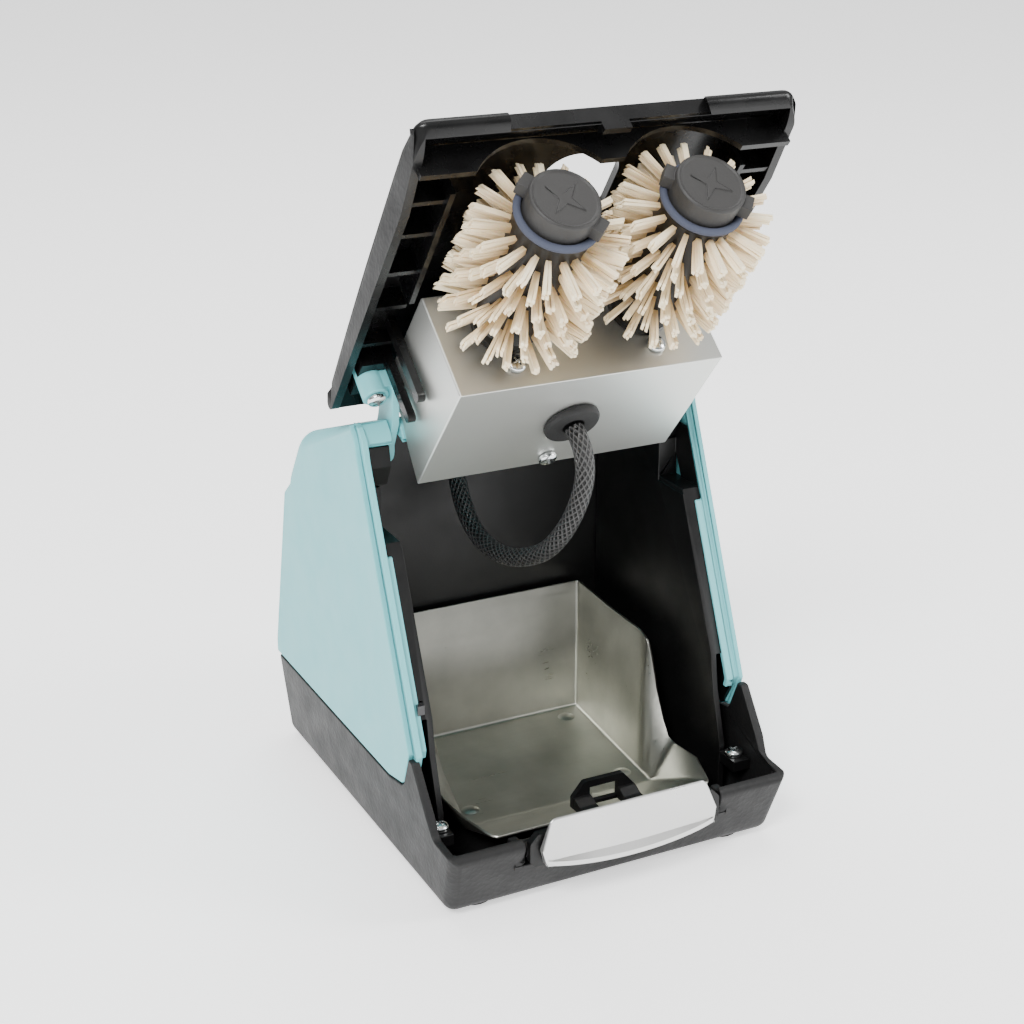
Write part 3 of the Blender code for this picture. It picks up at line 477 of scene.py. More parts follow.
def sheet_metal(name, colour, roughness, streaks=(40.0, 900.0, 900.0), lines=0.25, blotch=0.2, spangle=0.0):
    """Rolled, plated or turned metal: rolling lines, cloudy tone, and spangle on zinc."""
    material, tree = new_tree(name)
    if tree is None:
        return material
    nodes, links = tree.nodes, tree.links
    output = nodes.new("ShaderNodeOutputMaterial")
    output.label = "Surface"
    shader = nodes.new("ShaderNodeBsdfPrincipled")
    shader.label = "Metal"
    coords = nodes.new("ShaderNodeTexCoord")
    coords.label = "Place on piece"
    stretch = nodes.new("ShaderNodeMapping")
    stretch.label = "Along the rolling"
    line_noise = nodes.new("ShaderNodeTexNoise")
    line_noise.label = "Rolling lines"
    line_bump = nodes.new("ShaderNodeBump")
    line_bump.label = "Relief of lines"
    cloud = nodes.new("ShaderNodeTexNoise")
    cloud.label = "Cloudy handling marks"
    cloud_ramp = nodes.new("ShaderNodeValToRGB")
    cloud_ramp.label = "Dull to bright"
    crystal = nodes.new("ShaderNodeTexVoronoi")
    crystal.label = "Zinc crystals"
    crystal_mix = nodes.new("ShaderNodeMix")
    crystal_mix.label = "Crystal tone"
    rough_sum = nodes.new("ShaderNodeMath")
    rough_sum.label = "Lines and clouds"
    rough_range = nodes.new("ShaderNodeMapRange")
    rough_range.label = "Roughness"
    line_frame = nodes.new("NodeFrame")
    line_frame.label = "Rolling"
    tone_frame = nodes.new("NodeFrame")
    tone_frame.label = "Tone"
    gloss_frame = nodes.new("NodeFrame")
    gloss_frame.label = "Gloss"
    stretch.parent = line_frame
    line_noise.parent = line_frame
    line_bump.parent = line_frame
    cloud.parent = tone_frame
    cloud_ramp.parent = tone_frame
    crystal.parent = tone_frame
    crystal_mix.parent = tone_frame
    rough_sum.parent = gloss_frame
    rough_range.parent = gloss_frame
    arrange((
        (coords, cloud, cloud_ramp, crystal, crystal_mix, shader, output),
        (stretch, line_noise, line_bump),
        (rough_sum, rough_range),
    ))
    stretch.inputs["Scale"].default_value = streaks
    line_noise.inputs["Scale"].default_value = 1.0
    line_noise.inputs["Detail"].default_value = 4.0
    line_bump.inputs["Strength"].default_value = lines
    line_bump.inputs["Distance"].default_value = 0.00005
    cloud.inputs["Scale"].default_value = 55.0
    cloud.inputs["Detail"].default_value = 6.0
    cloud_ramp.color_ramp.elements[0].position = 0.32
    cloud_ramp.color_ramp.elements[1].position = 0.72
    cloud_ramp.color_ramp.elements[0].color = (*(c * (1.0 - blotch) for c in colour), 1.0)
    cloud_ramp.color_ramp.elements[1].color = (*(min(1.0, c * (1.0 + blotch * 0.5)) for c in colour), 1.0)
    crystal.inputs["Scale"].default_value = 180.0
    crystal_mix.data_type = "RGBA"
    crystal_mix.blend_type = "SOFT_LIGHT"
    crystal_mix.inputs["Factor"].default_value = spangle
    rough_sum.operation = "ADD"
    rough_range.inputs["From Min"].default_value = 0.6
    rough_range.inputs["From Max"].default_value = 1.4
    rough_range.inputs["To Min"].default_value = max(0.05, roughness - 0.08)
    rough_range.inputs["To Max"].default_value = roughness + 0.10
    shader.inputs["Metallic"].default_value = 1.0
    links.new(coords.outputs["Object"], stretch.inputs["Vector"])
    links.new(stretch.outputs["Vector"], line_noise.inputs["Vector"])
    links.new(coords.outputs["Object"], cloud.inputs["Vector"])
    links.new(coords.outputs["Object"], crystal.inputs["Vector"])
    links.new(line_noise.outputs["Fac"], line_bump.inputs["Height"])
    links.new(cloud.outputs["Fac"], cloud_ramp.inputs["Fac"])
    links.new(cloud_ramp.outputs["Color"], crystal_mix.inputs["A"])
    links.new(crystal.outputs["Color"], crystal_mix.inputs["B"])
    links.new(line_noise.outputs["Fac"], rough_sum.inputs[0])
    links.new(cloud.outputs["Fac"], rough_sum.inputs[1])
    links.new(rough_sum.outputs["Value"], rough_range.inputs["Value"])
    links.new(crystal_mix.outputs["Result"], shader.inputs["Base Color"])
    links.new(rough_range.outputs["Result"], shader.inputs["Roughness"])
    links.new(line_bump.outputs["Normal"], shader.inputs["Normal"])
    links.new(shader.outputs["BSDF"], output.inputs["Surface"])
    return material


def fibre(name, colour):
    """Natural bristle: each strand has its own tone, darkened towards the root as painted shade, with fine
    lengthwise splits.
    """
    material, tree = new_tree(name)
    if tree is None:
        return material
    nodes, links = tree.nodes, tree.links
    output = nodes.new("ShaderNodeOutputMaterial")
    output.label = "Surface"
    shader = nodes.new("ShaderNodeBsdfPrincipled")
    shader.label = "Fibre"
    tone = nodes.new("ShaderNodeAttribute")
    tone.label = "Strand tone and painted root shade"
    tone.attribute_name = "strand_tone_and_root_shade"
    ramp = nodes.new("ShaderNodeValToRGB")
    ramp.label = "Painted root shade, straw to cream"
    coords = nodes.new("ShaderNodeTexCoord")
    coords.label = "Place on piece"
    grain = nodes.new("ShaderNodeTexNoise")
    grain.label = "Fibre grain"
    bump = nodes.new("ShaderNodeBump")
    bump.label = "Fibre relief"
    mottle = nodes.new("ShaderNodeMix")
    mottle.label = "Mottled fibre"
    tone_frame = nodes.new("NodeFrame")
    tone_frame.label = "Strand colour"
    grain_frame = nodes.new("NodeFrame")
    grain_frame.label = "Grain"
    tone.parent = tone_frame
    ramp.parent = tone_frame
    mottle.parent = tone_frame
    grain.parent = grain_frame
    bump.parent = grain_frame
    arrange(((tone, ramp, mottle, shader, output), (coords, grain, bump)))
    # The dark end of this ramp is the painted shade at the strand roots.
    ramp.color_ramp.elements[0].color = (colour[0] * 0.50, colour[1] * 0.40, colour[2] * 0.26, 1.0)
    ramp.color_ramp.elements[1].color = (min(1.0, colour[0] * 1.12), colour[1] * 1.12, colour[2] * 1.2, 1.0)
    middle = ramp.color_ramp.elements.new(0.45)
    middle.color = (*colour, 1.0)
    grain.inputs["Scale"].default_value = 1800.0
    grain.inputs["Detail"].default_value = 3.0
    bump.inputs["Strength"].default_value = 0.35
    bump.inputs["Distance"].default_value = 0.0001
    mottle.data_type = "RGBA"
    mottle.blend_type = "SOFT_LIGHT"
    mottle.inputs["Factor"].default_value = 0.45
    shader.inputs["Roughness"].default_value = 0.62
    shader.inputs["Sheen Weight"].default_value = 0.15
    links.new(tone.outputs["Fac"], ramp.inputs["Fac"])
    links.new(ramp.outputs["Color"], mottle.inputs["A"])
    links.new(coords.outputs["Object"], grain.inputs["Vector"])
    links.new(grain.outputs["Color"], mottle.inputs["B"])
    links.new(grain.outputs["Fac"], bump.inputs["Height"])
    links.new(mottle.outputs["Result"], shader.inputs["Base Color"])
    links.new(bump.outputs["Normal"], shader.inputs["Normal"])
    links.new(shader.outputs["BSDF"], output.inputs["Surface"])
    return material


def braid(name, colour, strands=7.0, pitch=2.2):
    """Braided sleeve: two sets of flat strands that cross, on the tube's own unwrapping, with painted shade in the
    gaps between them.
    """
    material, tree = new_tree(name)
    if tree is None:
        return material
    nodes, links = tree.nodes, tree.links
    output = nodes.new("ShaderNodeOutputMaterial")
    output.label = "Surface"
    shader = nodes.new("ShaderNodeBsdfPrincipled")
    shader.label = "Sleeve"
    unwrap = nodes.new("ShaderNodeUVMap")
    unwrap.label = "Round and along the tube"
    unwrap.uv_map = "around"
    lay = nodes.new("NodeFrame")
    lay.label = "Crossing strands"
    slant_right = nodes.new("ShaderNodeVectorMath")
    slant_right.label = "Direction of right-hand strands"
    wave_right = nodes.new("ShaderNodeMath")
    wave_right.label = "Profile of right-hand strands"
    slant_left = nodes.new("ShaderNodeVectorMath")
    slant_left.label = "Direction of left-hand strands"
    wave_left = nodes.new("ShaderNodeMath")
    wave_left.label = "Profile of left-hand strands"
    slant_right.parent = lay
    wave_right.parent = lay
    slant_left.parent = lay
    wave_left.parent = lay
    top = nodes.new("ShaderNodeMath")
    top.operation = "MAXIMUM"
    top.label = "Strand on top"
    top.parent = lay
    bump = nodes.new("ShaderNodeBump")
    bump.label = "Weave relief"
    ramp = nodes.new("ShaderNodeValToRGB")
    ramp.label = "Painted gap shade to strand"
    arrange((
        (unwrap, slant_right, wave_right, top, ramp, shader, output),
        (slant_left, wave_left, bump),
    ))
    turns = 2.0 * math.pi
    slant_right.operation = "DOT_PRODUCT"
    slant_right.inputs[1].default_value = (turns * strands, turns * pitch, 0.0)
    slant_left.operation = "DOT_PRODUCT"
    slant_left.inputs[1].default_value = (turns * strands, -turns * pitch, 0.0)
    wave_right.operation = "SINE"
    wave_left.operation = "SINE"
    ramp.color_ramp.elements[0].position = 0.3
    # Painted shade: the gaps between the strands are coloured near-black.
    ramp.color_ramp.elements[0].color = (0.002, 0.002, 0.002, 1.0)
    ramp.color_ramp.elements[1].position = 0.75
    ramp.color_ramp.elements[1].color = (*colour, 1.0)
    bump.inputs["Strength"].default_value = 0.9
    bump.inputs["Distance"].default_value = 0.0004
    shader.inputs["Roughness"].default_value = 0.42
    links.new(unwrap.outputs["UV"], slant_right.inputs[0])
    links.new(unwrap.outputs["UV"], slant_left.inputs[0])
    links.new(slant_right.outputs["Value"], wave_right.inputs[0])
    links.new(slant_left.outputs["Value"], wave_left.inputs[0])
    links.new(wave_right.outputs["Value"], top.inputs[0])
    links.new(wave_left.outputs["Value"], top.inputs[1])
    links.new(top.outputs["Value"], ramp.inputs["Fac"])
    links.new(top.outputs["Value"], bump.inputs["Height"])
    links.new(ramp.outputs["Color"], shader.inputs["Base Color"])
    links.new(bump.outputs["Normal"], shader.inputs["Normal"])
    links.new(shader.outputs["BSDF"], output.inputs["Surface"])
    return material


def textured_black():
    """Coarse-grained black of the base and the outside of the lid."""
    black = bpy.context.scene.tip_cleaner_colours.black
    return moulded("textured_black", tuple(c * 1.5 for c in black), 0.55, 1000.0, 0.8, 0.2)


def smooth_black():
    """Plain moulded black."""
    black = bpy.context.scene.tip_cleaner_colours.black
    return moulded("smooth_black", tuple(black), 0.40, 3200.0, 0.12, 0.2)


def gloss_black():
    """Glossier black of the inside of the lid."""
    black = bpy.context.scene.tip_cleaner_colours.black
    return moulded("gloss_black", tuple(black), 0.27, 3200.0, 0.06, 0.2)


def aqua():
    """Pale aqua plastic of the shell and the hinge arms."""
    shell = bpy.context.scene.tip_cleaner_colours.shell
    return moulded("aqua_plastic", tuple(shell), 0.42, 2800.0, 0.10, 0.03)


def black_rubber():
    """Rubber of the feet and the grommet."""
    return moulded("black_rubber", (0.014, 0.014, 0.014), 0.7, 1800.0, 0.3, 0.2)


def galvanised():
    """Zinc-coated sheet of the motor box."""
    return sheet_metal("galvanised", (0.78, 0.82, 0.76), 0.10, (30.0, 500.0, 500.0), 0.10, 0.30, 0.10)


def tray_steel():
    """Rolled stainless sheet of the tray."""
    tray = tuple(bpy.context.scene.tip_cleaner_colours.tray)
    return sheet_metal("rolled_stainless", tray, 0.33, (30.0, 900.0, 900.0), 0.35, 0.2)


def zinc():
    """Zinc plating of the screws."""
    return sheet_metal("zinc_plate", (0.78, 0.80, 0.80), 0.18, (300.0, 300.0, 300.0), 0.1, 0.15)


def plain_steel():
    """Turned steel of pins and spindles."""
    return sheet_metal("turned_steel", (0.55, 0.56, 0.57), 0.28, (300.0, 300.0, 900.0), 0.2, 0.15)


# ------------------------------------------------------------------ stage
def area_light(name, location, size, energy, target=(0.0, 0.0, 0.1)):
    """Soft rectangular light aimed at the object."""
    light = bpy.data.lights.new(name, "AREA")
    light.shape = "RECTANGLE"
    light.size, light.size_y = size
    light.energy = energy
    obj = bpy.data.objects.new(name, light)
    obj.location = location
    obj.rotation_euler = (Vector(target) - Vector(location)).to_track_quat("-Z", "Y").to_euler()
    bpy.context.scene.collection.objects.link(obj)


class TIP_CLEANER_OT_stage(bpy.types.Operator):
    """Pale floor, soft studio light and the camera."""

    bl_idname = "tip_cleaner.stage"
    bl_label = "Stage"

    def execute(self, context):
        mesh = bpy.data.meshes.new("floor")
        work = bmesh.new()
        bmesh.ops.create_grid(work, x_segments=1, y_segments=1, size=4.0)
        work.to_mesh(mesh)
        work.free()
        floor = bpy.data.objects.new("floor", mesh)
        context.scene.collection.objects.link(floor)
        paper = moulded("floor_paper", (0.92, 0.92, 0.92), 0.9, 400.0, 0.02, 0.01)
        paper.node_tree.nodes["Moulding"].inputs["Emission Color"].default_value = (1.0, 1.0, 1.0, 1.0)
        paper.node_tree.nodes["Moulding"].inputs["Emission Strength"].default_value = 1.0
        mesh.materials.append(paper)
        world = bpy.data.worlds.new("studio")
        world.use_nodes = True
        sky, sky_links = world.node_tree.nodes, world.node_tree.links
        background = sky["Background"]
        background.label = "Studio light"
        direction = sky.new("ShaderNodeTexCoord")
        direction.label = "Direction"
        height = sky.new("ShaderNodeSeparateXYZ")
        height.label = "Height"
        walls = sky.new("ShaderNodeValToRGB")
        walls.label = "Floor, walls and ceiling"
        direction.location = (-900.0, 300.0)
        height.location = (-680.0, 300.0)
        walls.location = (-460.0, 300.0)
        walls.color_ramp.elements[0].color = (0.30, 0.30, 0.30, 1.0)
        walls.color_ramp.elements[1].color = (1.0, 1.0, 1.0, 1.0)
        walls.color_ramp.elements[1].position = 0.62
        band = walls.color_ramp.elements.new(0.22)
        band.color = (0.42, 0.43, 0.44, 1.0)
        background.inputs["Strength"].default_value = 0.75
        sky_links.new(direction.outputs["Generated"], height.inputs["Vector"])
        sky_links.new(height.outputs["Z"], walls.inputs["Fac"])
        sky_links.new(walls.outputs["Color"], background.inputs["Color"])
        context.scene.world = world
        area_light("key", (-0.9, -0.9, 1.3), (0.5, 0.5), 34.0)
        area_light("fill", (1.2, -0.7, 0.8), (0.4, 0.9), 15.0)
        area_light("top", (0.1, 0.4, 1.5), (1.0, 0.8), 14.0)
        data = bpy.data.cameras.new("camera")
        data.lens = 66.45
        data.sensor_width = 36.0
        camera = bpy.data.objects.new("camera", data)
        camera.location = (-0.2482, HOUSE.translation.y - 0.4270, HOUSE.translation.z + 0.3061)
        target = Vector((0.0, HOUSE.translation.y + 0.0693, HOUSE.translation.z + 0.0913))
        camera.rotation_euler = (target - camera.location).to_track_quat("-Z", "Y").to_euler()
        context.scene.collection.objects.link(camera)
        context.scene.camera = camera
        return {"FINISHED"}


# ------------------------------------------------------------------ cable
class TIP_CLEANER_OT_cable(bpy.types.Operator):
    """Braided cable from the motor box to the housing."""

    bl_idname = "tip_cleaner.cable"
    bl_label = "Cable"

    def execute(self, context):
        sizes = context.scene.tip_cleaner_sizes
        path = [HOUSE @ (point * MM) for point in smooth_path(CABLE_ROUTE, 5)]
        sides = 20
        mesh = bpy.data.meshes.new("cable_sleeve")
        work = bmesh.new()
        unwrap = work.loops.layers.uv.new("around")
        rings = []
        along = [0.0]
        side = Vector((1.0, 0.0, 0.0))
        for index, point in enumerate(path):
            ahead = path[min(index + 1, len(path) - 1)] - path[max(index - 1, 0)]
            up = ahead.cross(side).normalized()
            side = up.cross(ahead).normalized()
            ring = []
            for k in range(sides):
                turn = 2.0 * math.pi * k / sides
                out = side * math.cos(turn) + up * math.sin(turn)
                ring.append(work.verts.new(point + out * sizes.cable_radius))
            rings.append(ring)
            if index:
                along.append(along[-1] + (point - path[index - 1]).length)
        for index, (ring, ahead) in enumerate(zip(rings, rings[1:])):
            for k in range(sides):
                near = (k + 1) % sides
                face = work.faces.new((ring[k], ring[near], ahead[near], ahead[k]))
                corners = ((k, index), (k + 1, index), (k + 1, index + 1), (k, index + 1))
                for loop, (around, row) in zip(face.loops, corners):
                    loop[unwrap].uv = (around / sides, along[row] / BRAID_REPEAT)
        work.faces.new(rings[0][::-1])
        work.faces.new(rings[-1])
        bmesh.ops.recalc_face_normals(work, faces=work.faces)
        work.to_mesh(mesh)
        work.free()
        braided = braid("braided_sleeve", (0.05, 0.049, 0.048), 11.0, 3.4)
        sleeve = add_piece("cable_sleeve", mesh, None, braided)
        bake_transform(sleeve)
        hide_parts("sleeved_cable")
        grommet = (
            (3.3, -2.4), (3.3, 1.6), (6.1, 1.6), (6.1, -0.3), (8.6, -0.3), (8.6, -1.5), (8.0, -2.3), (7.2, -2.4),
        )
        turn = Matrix.Rotation(-math.pi / 2.0, 4, "X")
        mesh = placed(turned(grommet, 64), 0.0, -19.4, 31.4, turn)
        ring = add_piece("rubber_grommet", mesh, "lid", black_rubber(), LID, 0.25)
        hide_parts("cable_grommet")
        return {"FINISHED"}


# ------------------------------------------------------------------ brushes
def add_strand(work, tone_and_root_shade_layer, root, tip, sideways, upright, width, tone):
    """One straight four-sided strand with a slanted blunt end."""
    along = (tip - root).normalized()
    rings = []
    for share, scale in ((0.0, 0.8), (0.5, 1.0), (1.0, 0.96)):
        centre = root.lerp(tip, share)
        ring = []
        for a, b in ((-1.0, -1.0), (1.0, -1.0), (1.0, 1.0), (-1.0, 1.0)):
            slant = along * ((a - b) * width * 0.45 if share == 1.0 else 0.0)
            vertex = work.verts.new(centre + (sideways * a + upright * b) * width * scale + slant)
            # Painted shade: each strand's tone is darkened towards its root, where the tufts crowd round the core.
            vertex[tone_and_root_shade_layer] = max(0.0, min(1.0, tone - 0.75 * (1.0 - share) ** 1.5))
            ring.append(vertex)
        rings.append(ring)
    for first, second in zip(rings, rings[1:]):
        for k in range(4):
            work.faces.new((first[k], first[(k + 1) % 4], second[(k + 1) % 4], second[k]))
    work.faces.new(rings[0][::-1])
    work.faces.new(rings[-1])


def bristle_mesh(side, sizes):
    """Rows of tight tufts; the two brushes' rows are half a pitch apart, so that they mesh."""
    draw = random.Random(41 + side)
    mesh = bpy.data.meshes.new("bristles")
    work = bmesh.new()
    # Each strand's own tone, with painted shade towards its root.
    tone_and_root_shade_layer = work.verts.layers.float.new("strand_tone_and_root_shade")
    low, high = 64.0, 101.8
    pitch = (high - low) / sizes.tuft_rows
    reach = sizes.tuft_radius / MM
    for row in range(sizes.tuft_rows):
        height = low + pitch * (row + (0.30 if side < 0 else 0.70))
        for tuft in range(sizes.tufts_per_row):
            angle = 2.0 * math.pi * (tuft + 0.5 * (row % 2)) / sizes.tufts_per_row + draw.uniform(-0.05, 0.05)
            lean = draw.uniform(-0.3, 0.3) + (row / sizes.tuft_rows - 0.45) * 1.2
            out = Vector((math.cos(angle), math.sin(angle), 0.0))
            sideways = Vector((-out.y, out.x, 0.0))
            upright = Vector((0.0, 0.0, 1.0))
            twist = draw.uniform(-0.3, 0.3)
            across, along = math.cos(twist), math.sin(twist)
            sideways, upright = sideways * across + upright * along, upright * across - sideways * along
            tone = draw.uniform(0.55, 1.0)
            length = reach - draw.uniform(0.0, 0.9)
            for strand in range(sizes.strands):
                place = 0.9 * (strand % 2 - 0.5), 0.84 * (strand // 2 - (sizes.strands - 1) / 4.0)
                offset = sideways * place[0] + upright * place[1]
                root = out * 10.2 + offset * 0.8
                root.z += height
                tip = out * (length - draw.uniform(0.0, 0.9)) + offset * 1.12
                tip += (sideways * draw.uniform(-0.22, 0.22)) + upright * draw.uniform(-0.22, 0.22)
                tip.z += height + lean
                shade = max(0.15, tone - draw.uniform(0.0, 0.3))
                width = draw.uniform(0.37, 0.45) * MM
                add_strand(work, tone_and_root_shade_layer, root * MM, tip * MM, sideways, upright, width, shade)
    bmesh.ops.recalc_face_normals(work, faces=work.faces)
    work.to_mesh(mesh)
    work.free()
    return mesh


def cap_mesh():
    """Bayonet cap with two lugs, a dished top and a raised four-armed grip mark."""
    profile = (
        (0.0, 110.9), (8.6, 110.9), (9.0, 111.3), (9.4, 111.3), (9.9, 110.8), (9.9, 103.3), (0.0, 103.3),
    )
    body = turned(profile, 64)
    lugs = block((-12.8, 12.8), (-2.5, 2.5), (105.6, 109.6))
    star = []
    for k in range(8):
        radius = 6.2 if k % 2 == 0 else 1.7
        star.append((radius * math.cos(math.pi * k / 4.0), radius * math.sin(math.pi * k / 4.0)))
    mark = slab(star, 110.5, 111.2, UPWARDS)
    return combined(body, joins=[lugs, mark])


class TIP_CLEANER_OT_brushes(bpy.types.Operator):
    """The two brushes: core, tufts, ring and cap."""

    bl_idname = "tip_cleaner.brushes"
    bl_label = "Brushes"

    def execute(self, context):
        sizes = context.scene.tip_cleaner_sizes
        colour = tuple(context.scene.tip_cleaner_colours.bristle)
        ring_rubber = moulded("ring_rubber", (0.003, 0.004, 0.009), 0.45, 2000.0, 0.05, 0.15)
        cap_black = moulded("cap_black", (0.030, 0.029, 0.028), 0.52, 2600.0, 0.2, 0.15)
        for side, name in ((-1, "left"), (1, "right")):
            body = f"brush_{name}"
            place = LID @ Matrix.Translation((side * BRUSH_X * MM, BRUSH_Y * MM, 0.0))
            straw = fibre("bristle_fibre", colour)
            mesh = bristle_mesh(side, sizes)
            tufts = add_piece(f"bristle_tufts_{name}", mesh, body, straw, place, smooth=50.0)
            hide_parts(f"brush_bristles_{name}")
            profile = (
                (0.0, 103.0), (10.4, 103.0), (11.0, 102.4), (11.0, 61.0), (10.4, 60.4), (2.3, 60.4),
                (2.3, 84.3), (0.0, 84.3),
            )
            mesh = turned(profile, 48)
            core = add_piece(f"tuft_core_{name}", mesh, body, smooth_black(), place)
            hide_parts(f"brush_core_{name}")
            profile = arc((11.1, 104.3), 1.1, 180.0, -180.0, 16)[:-1]
            mesh = turned(profile, 64)
            ring = add_piece(f"retaining_ring_{name}", mesh, body, ring_rubber, place)
            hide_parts(f"brush_ring_{name}")
            turn = Matrix.Rotation(math.radians(-47.0 if side < 0 else -34.0), 4, "Z")
            mesh = cap_mesh()
            cap = add_piece(f"bayonet_cap_{name}", mesh, body, cap_black, place @ turn, 0.25)
            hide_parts(f"brush_cap_{name}")
        return {"FINISHED"}


# ------------------------------------------------------------------ screws
def screw_mesh():
    """M3 pan head with a cross recess; the head stands on z = 0."""
    angles = [math.pi / 2.0 * k / 8.0 for k in range(8)]
    dome = [(2.85 * math.cos(a), 0.75 + 1.15 * math.sin(a)) for a in reversed(angles)]
    head = turned([(0.0, 1.9), *dome, (2.85, 0.0), (1.4, 0.0), (1.4, -4.0), (0.0, -4.0)], 40)
    cross = []
    for angle in (25.0, 115.0):
        slot = block((-1.55, 1.55), (-0.32, 0.32), (0.9, 3.0))
        cross.append(placed(slot, 0, 0, 0, Matrix.Rotation(math.radians(angle), 4, "Z")))
    return combined(head, cuts=cross)


class TIP_CLEANER_OT_screws(bpy.types.Operator):
    """Pan-head screws of the frames, the hinge arms and the motor box."""

    bl_idname = "tip_cleaner.screws"
    bl_label = "Screws"

    def execute(self, context):
        facing = Matrix.Rotation(math.pi / 2.0, 4, "X")
        for side, name in ((-1.0, "left"), (1.0, "right")):
            rows = (
                ("frame_screw", "housing", HOUSE, (side * 51.1, 15.0, 19.5), None),
                ("box_screw", "lid", LID, (side * 22.4, -12.0, 54.3), None),
                ("hinge_screw", "lid", LID, (side * 49.6, 4.7, 18.7), facing),
            )
            for kind, body, place, where, turn in rows:
                mesh = placed(screw_mesh(), *where, turn)
                screw = add_piece(f"pan_{kind}_{name}", mesh, body, zinc(), place, smooth=40.0)
                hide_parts(f"{kind}_{name}")
        mesh = placed(screw_mesh(), -1.0, -19.7, 11.6, facing)
        screw = add_piece("pan_front_screw", mesh, "lid", zinc(), LID, smooth=40.0)
        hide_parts("front_screw")
        return {"FINISHED"}


# ------------------------------------------------------------------ casings
EDGE_LOW = (21.3, 42.2)
EDGE_HIGH = (55.1, 122.3)
HINGE_AT = (66.5, 121.8)
RIM = 28.2


def edge_y(z):
    """The shell's front edge at height z."""
    return EDGE_LOW[0] + (z - EDGE_LOW[1]) * (EDGE_HIGH[0] - EDGE_LOW[0]) / (EDGE_HIGH[1] - EDGE_LOW[1])


def top_z(y):
    """The shell's sloping top at depth y."""
    return 130.4 - 0.363 * (y - 64.0)


def lid_skin(z):
    """The lid's outer skin, slightly crowned."""
    return 19.3 + 0.115 * z - 0.00032 * z * z


def sided(side, low, high):
    """Limits on one side of x = 0."""
    return (low, high) if side > 0.0 else (-high, -low)


def flared(mesh):
    """Widen the base evenly up to its rim."""
    for vertex in mesh.vertices:
        vertex.co.x += math.copysign(0.10 * min(vertex.co.z, RIM * MM), vertex.co.x)
    return mesh


def softened(mesh, width, segments, chosen):
    """Round the edges whose two ends are both chosen; places are in millimetres."""
    work = bmesh.new()
    work.from_mesh(mesh)
    sharp = [edge for edge in work.edges if len(edge.link_faces) == 2 and edge.calc_face_angle() > 0.45]
    edges = [edge for edge in sharp if all(chosen(vert.co / MM) for vert in edge.verts)]
    bmesh.ops.bevel(
        work, geom=edges, offset=width * MM, segments=segments, profile=0.5, affect="EDGES", clamp_overlap=False
    )
    bmesh.ops.remove_doubles(work, verts=work.verts, dist=BEVEL_SLIVER)
    bmesh.ops.recalc_face_normals(work, faces=work.faces)
    work.to_mesh(mesh)
    work.free()
    return mesh


def cleaned(mesh):
    """Merge the slivers that cutting leaves, so that the edges round evenly."""
    work = bmesh.new()
    work.from_mesh(mesh)
    bmesh.ops.remove_doubles(work, verts=work.verts, dist=CUT_SLIVER)
    bmesh.ops.dissolve_limit(work, angle_limit=math.radians(0.8), verts=work.verts, edges=work.edges)
    bmesh.ops.recalc_face_normals(work, faces=work.faces)
    work.to_mesh(mesh)
    work.free()
    return mesh


class TIP_CLEANER_OT_base(bpy.types.Operator):
    """Flared base tub with round corners, its latch notch and its inlet notch."""

    bl_idname = "tip_cleaner.base"
    bl_label = "Base"

    def execute(self, context):
        outline = rounded((
            (0.6, -1.0), (131.0, -1.0), (133.2, RIM), (36.3, RIM, 9.0), (25.2, 30.2, 3.0), (21.6, 39.3),
            (21.1, 40.8), (18.6, 40.8, 1.0), (8.8, 27.4), (5.6, 21.8, 3.0), (-7.1, 21.2),
        ))
        outer = flared(slab(outline, -55.1, 55.1))

        def corner(p):
            if p.z < 0.0 or (p.z < 20.0 and p.y < 2.0):
                return True
            return abs(p.x) > 50.0 and (p.y > 129.0 or p.y < 2.0)

        outer = softened(outer, 3.6, 7, corner)
        inside = (
            (3.2, 2.3), (126.0, 2.3), (128.7, 6.0), (133.0, RIM), (133.4, 60.0), (-3.6, 60.0), (-3.6, 19.0),
        )
        hollow = softened(flared(slab(inside, -52.8, 52.8)), 2.6, 5, lambda p: p.z < 20.0 or p.y > 126.0)
        cuts = [
            hollow,
            block((-33.0, 33.0), (-12.0, 4.5), (12.2, 30.0)),
            block((23.6, 36.4), (120.0, 140.0), (8.6, 20.4)),
        ]
        mesh = combined(outer, cuts)
        ears = [block(sided(side, 33.2, 36.0), (-4.6, 0.6), (12.6, 19.9)) for side in (-1.0, 1.0)]
        mesh = cleaned(combined(mesh, joins=ears))
        piece = add_piece("base_moulding", mesh, "housing", textured_black(), HOUSE, 0.5, 3)
        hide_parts("base_tub")
        return {"FINISHED"}


